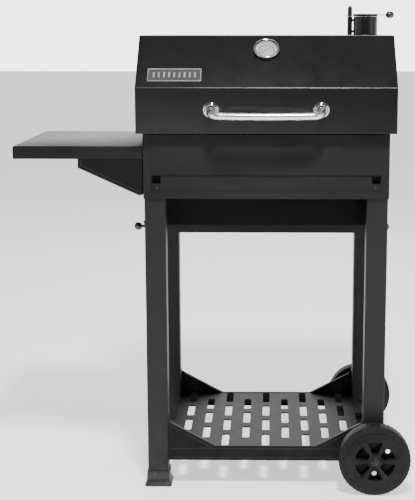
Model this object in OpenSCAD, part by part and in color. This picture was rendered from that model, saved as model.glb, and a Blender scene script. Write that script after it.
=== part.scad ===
// Cart-style charcoal grill: a closed cooking box on four square legs, with a hinged lid,
// a side shelf, a slotted storage shelf, a slide-out ash pan and two wheels.
// Millimetres, +Z up, front towards -Y. The origin is on the floor, at the middle of the outline.

/* [Body] */
// Width of the cooking box over its side panels
body_w = 580; // [480:1:760]
// Depth of the cooking box, front to back
body_d = 480; // [400:1:600]
// Height of the lower edge of the body panels
body_bottom = 714; // [620:1:800]
// Height of the body panels
body_h = 152; // [120:1:220]
// Thickness of the folded steel sheet
sheet = 1.5; // [1:0.1:2.5]
// Width of the corner flange on each side of the front panel
corner_flange = 18; // [12:1:30]
// Height of the bottom hem of the front panel
hem_h = 14.5; // [10:0.5:25]
// Height of the recessed band above the hem
band_h = 42.5; // [32:0.5:60]
// Depth of the recessed band
band_depth = 4; // [2:0.5:8]

/* [Legs and feet] */
// Width of each square leg
leg_w = 50; // [38:1:60]
// Wall of the leg tube
leg_wall = 1.5; // [1:0.1:3]
// How far the legs reach up behind the body panels
leg_overlap = 34; // [25:1:40]
// Height of the plastic foot's sleeve and base together
foot_h = 38; // [28:1:60]
// Height of the flared base of the foot
foot_base_h = 19; // [10:1:25]
// How far the base of the foot stands out past the leg
foot_flare = 8; // [4:0.5:15]
// Height at which the legs on the wheel side end
wheel_leg_end = 62; // [40:1:75]

/* [Wheels] */
// Diameter of the wheels
wheel_d = 174; // [150:1:230]
// Width of the wheels
wheel_w = 45; // [30:1:55]
// Gap between each leg and its wheel
wheel_gap = 18; // [12:1:30]
// Diameter of the axle rod
axle_d = 10; // [8:0.5:14]
// Diameter of the plastic wheel body inside the tyre
rim_d = 143; // [120:1:146]

/* [Storage shelf] */
// Height of the storage shelf's top
storage_z = 102; // [95:1:140]
// Height of the shelf rails
rail_h = 37; // [25:1:50]
// Rise of the corner gussets above the shelf
gusset_h = 62; // [50:1:120]
// Length of the corner gussets along the rail
gusset_l = 116; // [70:1:140]
// Width of a drain slot
slot_w = 18; // [10:1:24]
// Length of a drain slot
slot_l = 88; // [60:1:100]
// Distance between neighbouring slot columns
slot_pitch = 50; // [40:1:60]

/* [Lid] */
// How far the lid stands out past each side of the body
lid_side = 14; // [12:1:30]
// How far the lid stands out past the front of the body
lid_front = 22; // [15:1:30]
// Height of the lid's vertical front
lid_wall_h = 106; // [80:1:160]
// Rise of the lid's sloped front
slope_rise = 119; // [80:1:160]
// Depth of the lid's sloped front
slope_run = 122; // [90:1:180]
// Gap between the body and the lid's lower edge
lid_gap = 3; // [2:0.5:8]

/* [Handle] */
// Distance between the handle's two posts
handle_span = 256; // [180:2:400]
// Diameter of the handle bar
handle_d = 18; // [12:1:25]
// How far the bar's middle stands off the lid
handle_reach = 50; // [40:1:70]
// Height of the posts above the lid's lower edge
handle_z = 56; // [40:1:70]
// Diameter of the rosette behind each post
rosette_d = 37; // [30:1:50]

/* [Gauge and badge] */
// Diameter of the temperature gauge
gauge_d = 61; // [45:1:80]
// Distance of the gauge's middle above the crease, along the slope
gauge_s = 117; // [90:1:130]
// Width of the badge plate
badge_w = 126; // [80:1:160]
// Height of the badge plate
badge_h = 40; // [25:1:50]
// Distance of the badge plate's middle to the left of the centre
badge_x = 214; // [180:1:220]
// Distance of the badge plate's middle above the crease, along the slope
badge_s = 40; // [30:1:60]

/* [Stack] */
// Outer diameter of the smoke stack
stack_d = 61; // [45:1:70]
// Height of the stack above the lid
stack_h = 46; // [35:1:90]
// Distance of the stack from the centre, to the right
stack_x = 251; // [180:1:256]
// Distance of the stack behind the front of the body
stack_y = 320; // [200:1:380]
// Thickness of the swing-away cap's rim
cap_h = 6; // [4:0.5:10]

/* [Side shelf] */
// How far the side shelf reaches out
shelf_w = 307; // [220:1:380]
// Depth of the side shelf
shelf_d = 446; // [360:1:560]
// Height of the side shelf's top
shelf_z = 838; // [800:1:842]
// Height of the folded lip
lip_h = 30; // [20:1:40]
// Length of the brackets under the shelf
bracket_l = 152; // [100:1:200]
// Depth of a bracket at the body, below the lip
bracket_drop = 86; // [70:1:90]
// Depth of a bracket at its outer end, below the lip
bracket_tip = 21; // [12:1:40]

/* [Fire tub and ash pan] */
// Height of the fire tub's floor
tub_floor = 643; // [600:1:660]
// Width of the ash pan at its rim
pan_top_w = 170; // [120:1:220]
// Width of the ash pan's flat bottom
pan_base_w = 80; // [50:1:110]
// Depth of the ash pan
pan_h = 35; // [20:1:45]
// How far the pan is pushed to the left of centre
pan_shift = 12; // [0:1:20]
// Diameter of the ball knobs
knob_d = 21; // [16:1:30]
// Diameter of the grate rods
rod_d = 5; // [4:0.5:8]
// Distance between grate rods
rod_pitch = 14; // [11:0.5:20]

/* [Hidden] */
$fn = 64;

// Clearances
touch_gap = 0.2;      // between sheets that are bolted together
slide_gap = 0.5;      // round a sliding sheet
running_gap = 0.05;   // radial, round a pin that turns
hole_gap = 0.2;       // radial, round a bolt

// Levels and faces worked out from the driving sizes
half_w = body_w / 2;
body_top = body_bottom + body_h;
leg_face = band_depth + sheet + touch_gap;                 // front face of the front legs
leg_outer = half_w - sheet - touch_gap;                    // outer face of the legs
leg_inner = leg_outer - leg_w;                             // inner face of the legs
leg_back = body_d - leg_face;                              // rear face of the rear legs
leg_top = body_bottom + leg_overlap;
wheel_r = wheel_d / 2;
axle_r = axle_d / 2;
wheel_x = (leg_outer + leg_inner) / 2;
hub_gap = 2;                                               // between a spacer and its wheel
front_wheel_y = leg_face - wheel_gap;                      // inner face of the front wheel
rear_wheel_y = leg_back + wheel_gap;                       // inner face of the rear wheel
nut_h = 7;
nut_gap = 1;
lid_half = half_w + lid_side;
lid_bottom = body_top + lid_gap;
crease_z = lid_bottom + lid_wall_h;
lid_top = crease_z + slope_rise;
slope_a = atan2(slope_rise, slope_run);
hinge_y = body_d + 14;
hinge_z = lid_bottom + 11;
lid_back = body_d + 5.5;                                   // outer face of the lid's back
handle_tilt = 15;
handle_r = handle_d / 2;
stack_r = stack_d / 2;
stack_top = lid_top + stack_h;
sleeve_r = 6.3;
sleeve_gap = 3;                                            // between the stack and its pivot sleeve
pivot_r = 3;
pivot_x = stack_x - stack_r - sleeve_gap - sleeve_r;
knob_r = knob_d / 2;
tub_half = half_w - sheet - 2.5;
tub_front = leg_face + leg_w + 2;                          // lower tub, just behind the front legs
tub_rear = body_d - tub_front;
mid_y = body_d / 2;
shelf_x = -half_w - touch_gap;                             // the shelf's edge beside the body
lip_z = shelf_z - lip_h;
bolt_r = 3;
head_r = 6;
head_h = 4;

// The outline's middle is the origin
outline_left = -half_w - touch_gap - shelf_w;
outline_right = wheel_x + wheel_r;
outline_front = -lid_front - handle_reach * cos(handle_tilt) - handle_r;
outline_back = rear_wheel_y + wheel_w + nut_gap + nut_h;
shift_x = -(outline_left + outline_right) / 2;
shift_y = -(outline_front + outline_back) / 2;

// ---------- helpers ----------

// Everything is drawn with the middle of the body at X = 0 and its front at Y = 0
module cart() { translate([shift_x, shift_y, 0]) children(); }

module mirrored_x(on = true) { mirror([on ? 1 : 0, 0, 0]) children(); }

// A copy of the front part turned to face the rear
module rear_copy() { translate([0, body_d, 0]) mirror([0, 1, 0]) children(); }

function unit(v) = v / norm(v);
function normal(a, b) = let (d = unit(b - a)) [-d[1], d[0]];

// The points of an open path moved sideways by t, with mitred corners
function beside(path, t) = [
    for (i = [0 : len(path) - 1])
        let (
            n1 = normal(path[max(i - 1, 0)], path[max(i, 1)]),
            last = len(path) - 1,
            n2 = normal(path[min(i, last - 1)], path[min(i + 1, last)])
        )
        path[i] + (n1 + n2) * t / (1 + n1 * n2)
];

// The section of a sheet folded along its outer face: thickness to the left of the path, or to
// the right where t is negative
module folded(path, t = sheet) {
    inner = beside(path, t);
    polygon(concat(path, [for (i = [len(inner) - 1 : -1 : 0]) inner[i]]));
}

// Extrudes a section drawn in (Y, Z) along X, from x0 to x1
module along_x(x0, x1) {
    translate([x0, 0, 0]) rotate([90, 0, 90]) linear_extrude(x1 - x0) children();
}

// Extrudes a section drawn in (X, Z) along Y, from y0 to y1
module along_y(y0, y1) {
    translate([0, y1, 0]) rotate([90, 0, 0]) linear_extrude(y1 - y0) children();
}

module rod_x(r, x0, x1) { translate([x0, 0, 0]) rotate([0, 90, 0]) cylinder(h = x1 - x0, r = r); }
module rod_y(r, y0, y1) { translate([0, y0, 0]) rotate([-90, 0, 0]) cylinder(h = y1 - y0, r = r); }

module box(x0, x1, y0, y1, z0, z1) { translate([x0, y0, z0]) cube([x1 - x0, y1 - y0, z1 - z0]); }

function rounded_rect(w, h, r, steps = 3) = [
    for (corner = [0 : 3], i = [0 : steps])
        let (
            a = corner * 90 + i * 90 / steps,
            sx = (corner == 0 || corner == 3) ? 1 : -1,
            sy = (corner < 2) ? 1 : -1
        )
        [sx * (w / 2 - r) + r * cos(a), sy * (h / 2 - r) + r * sin(a)]
];

// ---------- legs and feet ----------

rail_bolt_y = leg_face + 16;
rail_bolt_z = [storage_z - 22, storage_z + 38];
panel_bolt_z = leg_top - 8;
panel_bolt_x = (leg_outer + leg_inner) / 2 - 6;
bracket_bolt_y = 14;                                       // behind the shelf's front edge
bracket_bolt_z = [leg_top - 14, lip_z - 10];
bracket_bolt_r = bolt_r + hole_gap;

// A square tube with its outer corner at the left and front, from z0 up to the top
module leg_tube(z0, bracket_y_at = -1) {
    difference() {
        box(-leg_outer, -leg_inner, leg_face, leg_face + leg_w, z0, leg_top);
        box(-leg_outer + leg_wall, -leg_inner - leg_wall, leg_face + leg_wall,
            leg_face + leg_w - leg_wall, z0 - 1, leg_top + 1);
        for (z = rail_bolt_z)
            translate([0, rail_bolt_y, z]) rod_x(bolt_r + hole_gap, -leg_inner - 5, -leg_inner + 5);
        translate([-panel_bolt_x, 0, panel_bolt_z]) rod_y(bolt_r + hole_gap, leg_face - 1, leg_face + 5);
        if (bracket_y_at > 0)
            translate([0, bracket_y_at, bracket_bolt_z[0]])
                rod_x(bracket_bolt_r, -leg_outer - 5, -leg_outer + 5);
    }
}

module wheel_leg() {
    difference() {
        mirrored_x() leg_tube(wheel_leg_end);
        translate([wheel_x, 0, wheel_r]) rod_y(axle_r + hole_gap, leg_face - 1, leg_face + leg_w + 1);
    }
}

module leg_front_left() cart() color("#2b2b2d") leg_tube(foot_base_h, bracket_bolt_y);
module leg_rear_left() cart() color("#2b2b2d")
    rear_copy() leg_tube(foot_base_h, body_d - shelf_d + bracket_bolt_y);
module leg_front_right() cart() color("#2b2b2d") wheel_leg();
module leg_rear_right() cart() color("#2b2b2d") rear_copy() wheel_leg();

// A socket round the leg's end on a flared base
module foot() {
    wall = 2.5;
    x = -(leg_outer + leg_inner) / 2;
    y = leg_face + leg_w / 2;
    grip = leg_w / 2 + touch_gap;
    top = grip + wall;
    base = leg_w / 2 + foot_flare;
    rim = 4;
    difference() {
        union() {
            box(x - top, x + top, y - top, y + top, foot_base_h, foot_h);
            hull() {
                box(x - base, x + base, y - base, y + base, 0, rim);
                box(x - top, x + top, y - top, y + top, foot_base_h - 1, foot_base_h);
            }
        }
        box(x - grip, x + grip, y - grip, y + grip, foot_base_h - touch_gap, foot_h + 1);
    }
}

module foot_front() cart() color("#1c1c1e") foot();
module foot_rear() cart() color("#1c1c1e") rear_copy() foot();

// Push-in plugs that close the lower ends of the legs on the wheel side
module leg_plug() {
    fit = leg_w / 2 - leg_wall - touch_gap;
    y = leg_face + leg_w / 2;
    box(wheel_x - fit, wheel_x + fit, y - fit, y + fit, wheel_leg_end, wheel_leg_end + 9);
    box(wheel_x - leg_w / 2, wheel_x + leg_w / 2, y - leg_w / 2, y + leg_w / 2,
        wheel_leg_end - 3, wheel_leg_end);
}

module leg_plugs() cart() color("#1c1c1e") {
    leg_plug();
    rear_copy() leg_plug();
}

// ---------- storage shelf ----------

rail_face = leg_face + 2;
rail_half = leg_inner - touch_gap;
rail_bottom = storage_z - rail_h + 1;
rail_lip = 12;
flange_w = 32;

// One drain slot's outline
module slot_outline() { polygon(rounded_rect(slot_w, slot_l, 4)); }

slot_land = 32;       // steel left between two slots of a column
slot_edge = 4;        // least distance from a slot to the plate's edge

module storage_shelf() cart() color("#4a4a4c") {
    plate_half = rail_half - sheet - touch_gap;
    y0 = rail_face + sheet + touch_gap;
    y1 = body_d - y0;
    row = slot_l + slot_land;
    columns = floor((plate_half - slot_w) / slot_pitch);
    rows = ceil(body_d / row);
    translate([0, 0, storage_z - sheet]) linear_extrude(sheet) difference() {
        translate([-plate_half, y0]) square([2 * plate_half, y1 - y0]);
        for (c = [-columns : columns], r = [-rows : rows])
            let (y = mid_y + row * (r + (c % 2 == 0 ? 0.5 : 0)))
            if (y - slot_l / 2 > y0 + slot_edge && y + slot_l / 2 < y1 - slot_edge)
                translate([c * slot_pitch, y]) slot_outline();
    }
    for (s = [0, 1]) mirror([s, 0, 0])
        box(plate_half - sheet, plate_half, leg_face + leg_w + 2, body_d - leg_face - leg_w - 2,
            rail_bottom, storage_z - sheet);
}

// A rail with a gusset rising to the leg at each end, hemmed along the slopes
module shelf_rail() {
    top = storage_z + 1;
    slope = atan2(gusset_h, gusset_l);
    hem = 9;
    hem_from = 6;     // clear of the plate's edge
    ear_h = 8;        // how far the flange rises past the gusset
    difference() {
        union() {
            along_y(rail_face, rail_face + sheet) polygon([
                [-rail_half, rail_bottom], [rail_half, rail_bottom], [rail_half, top + gusset_h],
                [rail_half - gusset_l, top], [gusset_l - rail_half, top], [-rail_half, top + gusset_h]
            ]);
            box(-rail_half, rail_half, rail_face, rail_face + rail_lip, rail_bottom, rail_bottom + sheet);
            for (s = [0, 1]) mirror([s, 0, 0]) {
                box(rail_half - sheet, rail_half, rail_face, rail_face + flange_w,
                    rail_bottom, top + gusset_h + ear_h);
                translate([rail_half - gusset_l, rail_face + sheet / 2, top]) rotate([0, -slope, 0])
                    translate([hem_from, 0, -sheet - 0.4])
                        cube([gusset_l / cos(slope) - hem_from - 8, hem, sheet]);
            }
        }
        for (s = [0, 1], z = rail_bolt_z) mirror([s, 0, 0])
            translate([0, rail_bolt_y, z]) rod_x(bolt_r + hole_gap, rail_half - 5, rail_half + 1);
    }
}

module front_rail() cart() color("#333335") shelf_rail();
module rear_rail() cart() color("#333335") rear_copy() shelf_rail();

// Bolts through the rail flanges into the legs
module rail_bolts() cart() color("#3a3a3c")
    for (back = [0, 1], s = [0, 1], z = rail_bolt_z)
        translate([0, back * body_d, 0]) mirror([0, back, 0]) mirror([s, 0, 0])
            translate([0, rail_bolt_y, z]) {
                rod_x(bolt_r, rail_half - sheet, rail_half + 8);
                rod_x(head_r, rail_half - sheet - head_h, rail_half - sheet);
            }

// ---------- body panels ----------

face_rim = 9;         // folded edge at the top of the front and back panels
face_foot = leg_face - slide_gap;   // folded edge at their foot, clear of the legs
hem_top = body_bottom + hem_h;
band_top = hem_top + band_h;
panel_half = half_w - corner_flange - touch_gap;
hook_w = 20;
hook_h = 18;
hook_x = half_w - corner_flange - 3 - hook_w / 2;
hook_z = band_top - 3 - hook_h / 2;

rivet_y = 60;         // rivets that hold the fire tub between the side panels
rivet_z = shelf_z + 7.5;

// A side panel with a flange folded in at the front and at the back
module side_panel(brackets) {
    difference() {
        union() {
            box(-half_w, -half_w + sheet, 0, body_d, body_bottom, body_top);
            for (y = [0, body_d - sheet])
                box(-half_w, -half_w + corner_flange, y, y + sheet, body_bottom, body_top);
        }
        if (brackets)
            for (y = [bracket_bolt_y, shelf_d - bracket_bolt_y], z = bracket_bolt_z)
                translate([0, y, z]) rod_x(bracket_bolt_r, -half_w - 1, -half_w + 3);
        for (y = [rivet_y, body_d - rivet_y])
            translate([0, y, rivet_z]) rod_x(bolt_r + hole_gap, -half_w - 1, -half_w + 3);
    }
}

module left_panel() cart() color("#303032") side_panel(true);
module right_panel() cart() color("#303032") mirrored_x() side_panel(false);

// The face between the corner flanges: upper face, recessed band, hem and folded edges
module face_panel(hooks) {
    difference() {
        along_x(-panel_half, panel_half) folded([
            [face_foot, body_bottom], [0, body_bottom], [0, hem_top], [band_depth, hem_top],
            [band_depth, band_top], [0, band_top], [0, body_top], [face_rim, body_top]
        ], -sheet);
        for (s = [-1, 1])
            translate([s * panel_bolt_x, 0, panel_bolt_z]) rod_y(bolt_r + hole_gap, -1, leg_face + 1);
        if (hooks)
            for (s = [-1, 1])
                box(s * hook_x - hook_w / 2, s * hook_x + hook_w / 2, -1, leg_face + 1,
                    hook_z - hook_h / 2, hook_z + hook_h / 2);
    }
}

module front_panel() cart() color("#363638") face_panel(true);
module back_panel() cart() color("#363638") rear_copy() face_panel(false);

// Bolts through the front and back panels into the tops of the legs
module frame_bolts() cart() color("#202022")
    for (back = [0, 1], s = [-1, 1])
        translate([0, back * body_d, 0]) mirror([0, back, 0])
            translate([s * panel_bolt_x, 0, panel_bolt_z]) {
                rod_y(bolt_r, band_depth, leg_face + 8);
                rod_y(head_r - 1, band_depth - 2.5, band_depth);
            }

// ---------- fire tub, grates and ash pan ----------

tub_rim = body_top - 12;
tub_ledge = leg_top + 3;
upper_front = rail_face + 6;
grate_z = tub_rim - 14;
coal_z = leg_top - 52;
ledge_w = 15;
weld_gap = 0.02;      // between crossed rods, which are welded where they meet
grate_end = 6;        // from the tub's outer ends to the grates
grate_middle = 3;     // from the centre to each cooking grate
cross_y = 7;          // from a grate's edge to its cross rods, over the ledges
pan_lip = 8;
pan_rim_z = tub_floor - 7;
pan_half_l = half_w + 4;
rail_foot = 12;
pan_slot = pan_top_w - 4;

// The tub's section: wide above the legs and narrower between them
tub_outline = [
    [upper_front, tub_rim], [upper_front, tub_ledge], [tub_front, tub_ledge],
    [tub_front, tub_floor], [tub_rear, tub_floor], [tub_rear, tub_ledge],
    [body_d - upper_front, tub_ledge], [body_d - upper_front, tub_rim]
];

// One folded sheet with a long ash opening in its floor
module fire_tub() cart() color("#1d1d1f")
    difference() {
        along_x(-tub_half + sheet, tub_half - sheet) folded(tub_outline);
        box(-tub_half + 16, tub_half - 16, mid_y - pan_slot / 2, mid_y + pan_slot / 2,
            tub_floor - 1, tub_floor + sheet + 1);
    }

// A flat plate welded to each end of the folded sheet
module tub_end() {
    difference() {
        along_x(-tub_half, -tub_half + sheet) polygon(tub_outline);
        for (y = [rivet_y, body_d - rivet_y])
            translate([0, y, rivet_z]) rod_x(bolt_r + hole_gap, -tub_half - 1, -tub_half + 3);
    }
}

module tub_ends() cart() color("#1d1d1f") {
    tub_end();
    mirrored_x() tub_end();
}

// Rivets through the side panels and the ends of the tub
module tub_rivets() cart() color("#202022")
    for (s = [0, 1], y = [rivet_y, body_d - rivet_y]) mirror([s, 0, 0]) translate([0, y, rivet_z]) {
        rod_x(bolt_r, -half_w, -tub_half + sheet);
        rod_x(head_r - 1, -half_w - 2.5, -half_w);
        rod_x(head_r - 1, -tub_half + sheet, -tub_half + sheet + 1.5);
    }

// Angle strips inside the tub that carry the grates
module grate_ledges() cart() color("#1d1d1f")
    for (back = [0, 1]) translate([0, back * body_d, 0]) mirror([0, back, 0]) {
        along_x(-tub_half + 6, tub_half - 6) folded([
            [upper_front + sheet + touch_gap + ledge_w, grate_z],
            [upper_front + sheet + touch_gap, grate_z],
            [upper_front + sheet + touch_gap, grate_z - ledge_w]
        ]);
        along_x(-tub_half + 6, tub_half - 6) folded([
            [tub_front + sheet + touch_gap + ledge_w, coal_z],
            [tub_front + sheet + touch_gap, coal_z],
            [tub_front + sheet + touch_gap, coal_z - ledge_w]
        ]);
    }

// A grate of rods that run front to back, welded on three cross rods; each rod is one solid
module rod_grate(x0, x1, y0, y1, z) {
    r = rod_d / 2;
    count = max(2, floor((x1 - x0 - rod_d) / rod_pitch));
    step = (x1 - x0 - rod_d) / count;
    for (i = [0 : count])
        translate([x0 + r + i * step, 0, z + rod_d + r + weld_gap]) rod_y(r, y0, y1);
    for (y = [y0 + cross_y, (y0 + y1) / 2, y1 - cross_y])
        translate([0, y, z + r]) rod_x(r, x0, x1);
}

grate_y0 = upper_front + sheet + 3;
coal_y0 = tub_front + sheet + 3;

module cooking_grate_left() cart() color("#57585a")
    rod_grate(-tub_half + grate_end, -grate_middle, grate_y0, body_d - grate_y0, grate_z);
module cooking_grate_right() cart() color("#57585a")
    rod_grate(grate_middle, tub_half - grate_end, grate_y0, body_d - grate_y0, grate_z);
module charcoal_grate() cart() color("#3f3f41")
    rod_grate(-tub_half + grate_end, tub_half - grate_end, coal_y0, body_d - coal_y0, coal_z);

// Two hooked rails under the tub that carry the pan's lips
module pan_rails() cart() color("#1d1d1f")
    for (back = [0, 1]) translate([0, back * body_d, 0]) mirror([0, back, 0])
        let (y = mid_y - pan_top_w / 2 - pan_lip - slide_gap)
        along_x(-tub_half + 12, tub_half - 12) folded([
            [y + pan_lip - 1, pan_rim_z - slide_gap], [y, pan_rim_z - slide_gap],
            [y, tub_floor - touch_gap], [y - rail_foot, tub_floor - touch_gap]
        ]);

// A pressed pan with sloping sides and a lip on each long edge
module ash_pan() cart() color("#222224") translate([-pan_shift, 0, 0]) {
    top = pan_rim_z;
    base = top - pan_h;
    half = pan_top_w / 2;
    foot = pan_base_w / 2;
    path = [
        [mid_y - half - pan_lip, top], [mid_y - half, top], [mid_y - foot, base],
        [mid_y + foot, base], [mid_y + half, top], [mid_y + half + pan_lip, top]
    ];
    along_x(-pan_half_l, pan_half_l) folded(path);
    for (x = [-pan_half_l, pan_half_l - sheet])
        along_x(x, x + sheet) polygon([
            [mid_y - half, top], [mid_y - foot, base], [mid_y + foot, base], [mid_y + half, top]
        ]);
}

pan_knob_z = pan_rim_z - pan_h + knob_r - 0.5;
neck_l = 13;

// A ball knob with a short neck on each end of the pan
module pan_knobs() cart() color("#161617") translate([-pan_shift, 0, 0])
    for (s = [0, 1]) mirror([s, 0, 0]) translate([0, mid_y, pan_knob_z]) {
        rod_x(4, pan_half_l, pan_half_l + neck_l + 3);
        translate([pan_half_l + neck_l + knob_r - 1, 0, 0]) sphere(knob_r);
    }

// ---------- side shelf ----------

shelf_far = shelf_x - shelf_w;

module side_shelf() cart() color("#5a5a5c")
    difference() {
        box(shelf_far, shelf_x, 0, shelf_d, lip_z, shelf_z);
        box(shelf_far + sheet, shelf_x - sheet, sheet, shelf_d - sheet, lip_z - 1, shelf_z - sheet);
    }

bracket_x = shelf_x - sheet - touch_gap;
bracket_top = shelf_z - sheet - touch_gap;
bracket_y = sheet + touch_gap;
bracket_flange = 22;

// A three-cornered bracket: side plate, flange against the body and flange under the shelf
module bracket() {
    low = lip_z - bracket_drop;
    tip = lip_z - bracket_tip;
    far = bracket_x - bracket_l;
    heel = 9;
    difference() {
        union() {
            along_y(bracket_y, bracket_y + sheet) polygon([
                [bracket_x, bracket_top], [far, bracket_top], [far, tip],
                [bracket_x - heel, low], [bracket_x, low + 1]
            ]);
            box(bracket_x - sheet, bracket_x, bracket_y, bracket_y + bracket_flange,
                low + 1, bracket_top);
            box(far, bracket_x, bracket_y, bracket_y + 14, bracket_top - sheet, bracket_top);
            box(far, far + sheet, bracket_y, bracket_y + 14, tip, bracket_top);
        }
        for (z = bracket_bolt_z)
            translate([0, bracket_bolt_y, z]) rod_x(bracket_bolt_r, bracket_x - 5, bracket_x + 1);
    }
}

module bracket_front() cart() color("#323234") bracket();
module bracket_rear() cart() color("#323234") translate([0, shelf_d, 0]) mirror([0, 1, 0]) bracket();

// ---------- axle ----------

module axle() cart() color("#8d8f92")
    translate([wheel_x, 0, wheel_r])
        rod_y(axle_r, front_wheel_y - wheel_w - nut_gap - nut_h + 2,
              rear_wheel_y + wheel_w + nut_gap + nut_h - 2);

// Spacer tubes between the legs and the wheels
module axle_spacers() cart() color("#6c6e70") translate([wheel_x, 0, wheel_r])
    for (y = [
        [front_wheel_y + hub_gap, leg_face - touch_gap],
        [leg_back + touch_gap, rear_wheel_y - hub_gap]
    ])
        difference() {
            rod_y(9, y[0], y[1]);
            rod_y(axle_r + hole_gap, y[0] - 1, y[1] + 1);
        }

// Push-on cap nuts at the ends of the axle
module axle_nuts() cart() color("#b9bbbd") translate([wheel_x, 0, wheel_r])
    for (back = [0, 1]) translate([0, back * body_d, 0]) mirror([0, back, 0])
        let (y = front_wheel_y - wheel_w - nut_gap)
        difference() {
            union() {
                rod_y(11, y - 1.5, y);
                rod_y(8, y - nut_h, y);
            }
            rod_y(axle_r, y - nut_h + 2, y + 1);
        }

// ---------- hinges ----------

hinge_x = half_w - 90;
hinge_w = 40;
knuckle_r = 6;
knuckle_w = 19;
hinge_plate = 3;
hinge_head_r = 5;
hinge_pin_gap = 0.5;

// Each bracket on the back panel: a plate, an arm and two outer knuckles with a pin through them
module hinge_bracket() {
    w = hinge_w / 2;
    k = knuckle_w / 2;
    arm_z = body_top - 8;
    difference() {
        union() {
            box(-w, w, body_d, body_d + hinge_plate, body_bottom + 112, body_top - 2);
            box(-w, w, body_d, hinge_y + knuckle_r, arm_z, arm_z + hinge_plate);
            for (x = [-w, k + hinge_pin_gap]) {
                box(x, x + w - k - hinge_pin_gap, hinge_y + knuckle_r - hinge_plate, hinge_y + knuckle_r,
                    arm_z, hinge_z);
                translate([0, hinge_y, hinge_z]) rod_x(knuckle_r, x, x + w - k - hinge_pin_gap);
            }
        }
        translate([0, hinge_y, hinge_z]) rod_x(pivot_r, -w - 1, w + 1);
    }
}

module at_hinges() { for (s = [-1, 1]) translate([s * hinge_x, 0, 0]) children(); }

module hinge_brackets() cart() color("#26262a") at_hinges() hinge_bracket();

module hinge_pins() cart() color("#a3a5a8") at_hinges()
    translate([0, hinge_y, hinge_z]) {
        rod_x(pivot_r, -hinge_w / 2 - 1, hinge_w / 2);
        rod_x(hinge_head_r, -hinge_w / 2 - 3, -hinge_w / 2);
    }

// Each leaf on the lid's back: a plate and the middle knuckle
module hinge_leaf() {
    w = hinge_w / 2;
    k = knuckle_w / 2;
    difference() {
        union() {
            box(-w, w, lid_back, lid_back + hinge_plate, hinge_z + knuckle_r + 2, hinge_z + 52);
            box(-k, k, lid_back, lid_back + hinge_plate, hinge_z, hinge_z + knuckle_r + 2);
            box(-k, k, lid_back, hinge_y, hinge_z, hinge_z + knuckle_r);
            translate([0, hinge_y, hinge_z]) rod_x(knuckle_r, -k, k);
        }
        translate([0, hinge_y, hinge_z]) rod_x(pivot_r + running_gap, -k - 1, k + 1);
    }
}

module hinge_leaves() cart() color("#26262a") at_hinges() hinge_leaf();

// ---------- lid ----------

lid_y = -lid_front;
lid_lip = 12;

// Places children on the lid's slope: x from the middle, s up the slope from the crease
module on_slope(x, s) {
    translate([x, lid_y + s * cos(slope_a), crease_z + s * sin(slope_a)]) rotate([slope_a, 0, 0]) children();
}

handle_post_x = handle_span / 2;
handle_post_z = lid_bottom + handle_z;
screw_r = 2.5;
stem_r = 5;

lid_outline = [
    [lid_y, lid_bottom], [lid_y, crease_z], [lid_y + slope_run, lid_top],
    [lid_back, lid_top], [lid_back, lid_bottom]
];

// One sheet folded over the front, slope, top and back
module lid_shell() cart() color("#26262a")
    difference() {
        along_x(-lid_half + sheet, lid_half - sheet)
            folded(concat([[lid_y + lid_lip, lid_bottom]], lid_outline), -sheet);
        for (s = [-1, 1])
            translate([s * handle_post_x, 0, handle_post_z]) rod_y(screw_r + hole_gap, lid_y - 1, lid_y + 5);
        on_slope(0, gauge_s) translate([0, 0, -5]) cylinder(h = 10, r = stem_r + hole_gap);
        translate([stack_x, stack_y, lid_top - 5]) cylinder(h = 10, r = stack_r + hole_gap);
    }

module lid_end() { along_x(-lid_half, -lid_half + sheet) polygon(lid_outline); }

module lid_end_left() cart() color("#26262a") lid_end();
module lid_end_right() cart() color("#26262a") mirrored_x() lid_end();

// ---------- handle ----------

rosette_h = 8;
post_gap = 3;
handle_bend = 16;
rosette_gap = 0.4;
screw_grip = 14;

module at_post(s) {
    translate([s * handle_post_x, lid_y, handle_post_z]) rotate([handle_tilt, 0, 0]) children();
}

// A round bar bent at both ends, in a plane that tips down away from the lid
module lid_handle() cart() color("#b8babd")
    difference() {
        translate([0, lid_y, handle_post_z]) rotate([handle_tilt, 0, 0]) {
            translate([0, -handle_reach, 0])
                rod_x(handle_r, handle_bend - handle_post_x, handle_post_x - handle_bend);
            for (s = [0, 1]) mirror([s, 0, 0]) {
                translate([handle_post_x, 0, 0]) rod_y(handle_r, handle_bend - handle_reach, -post_gap);
                translate([handle_post_x - handle_bend, handle_bend - handle_reach, 0]) rotate([0, 0, -90])
                    rotate_extrude(angle = 90) translate([handle_bend, 0]) circle(r = handle_r);
            }
        }
        for (s = [-1, 1])
            translate([s * handle_post_x, 0, handle_post_z])
                rod_y(screw_r + hole_gap, lid_y - screw_grip, lid_y);
    }

module handle_rosettes() cart() color("#d5d7d9")
    for (s = [-1, 1]) difference() {
        translate([s * handle_post_x, 0, handle_post_z]) rod_y(rosette_d / 2, lid_y - rosette_h, lid_y);
        at_post(s) rod_y(handle_r + rosette_gap, -rosette_h * 2, rosette_h);
    }

module handle_screws() cart() color("#8d8f92")
    for (s = [-1, 1]) translate([s * handle_post_x, 0, handle_post_z]) {
        rod_y(screw_r, lid_y - screw_grip + 2, lid_y + sheet);
        rod_y(screw_r * 2, lid_y + sheet, lid_y + sheet + 3);
    }

// ---------- gauge and badge ----------

gauge_r = gauge_d / 2;
cup_floor = 3;
cup_wall = 2.5;
cup_h = 11;
bezel_h = 1.5;
lens_t = 2;
dial_t = 1;
needle_r = 0.8;
needle_z = cup_floor + dial_t + 1.2;
needle_t = 0.8;
needle_a = 120;       // how far the pointer rests to the left of straight up
stem_l = 34;
shaft_l = 12;         // how far the pointer's shaft reaches into the stem

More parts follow.
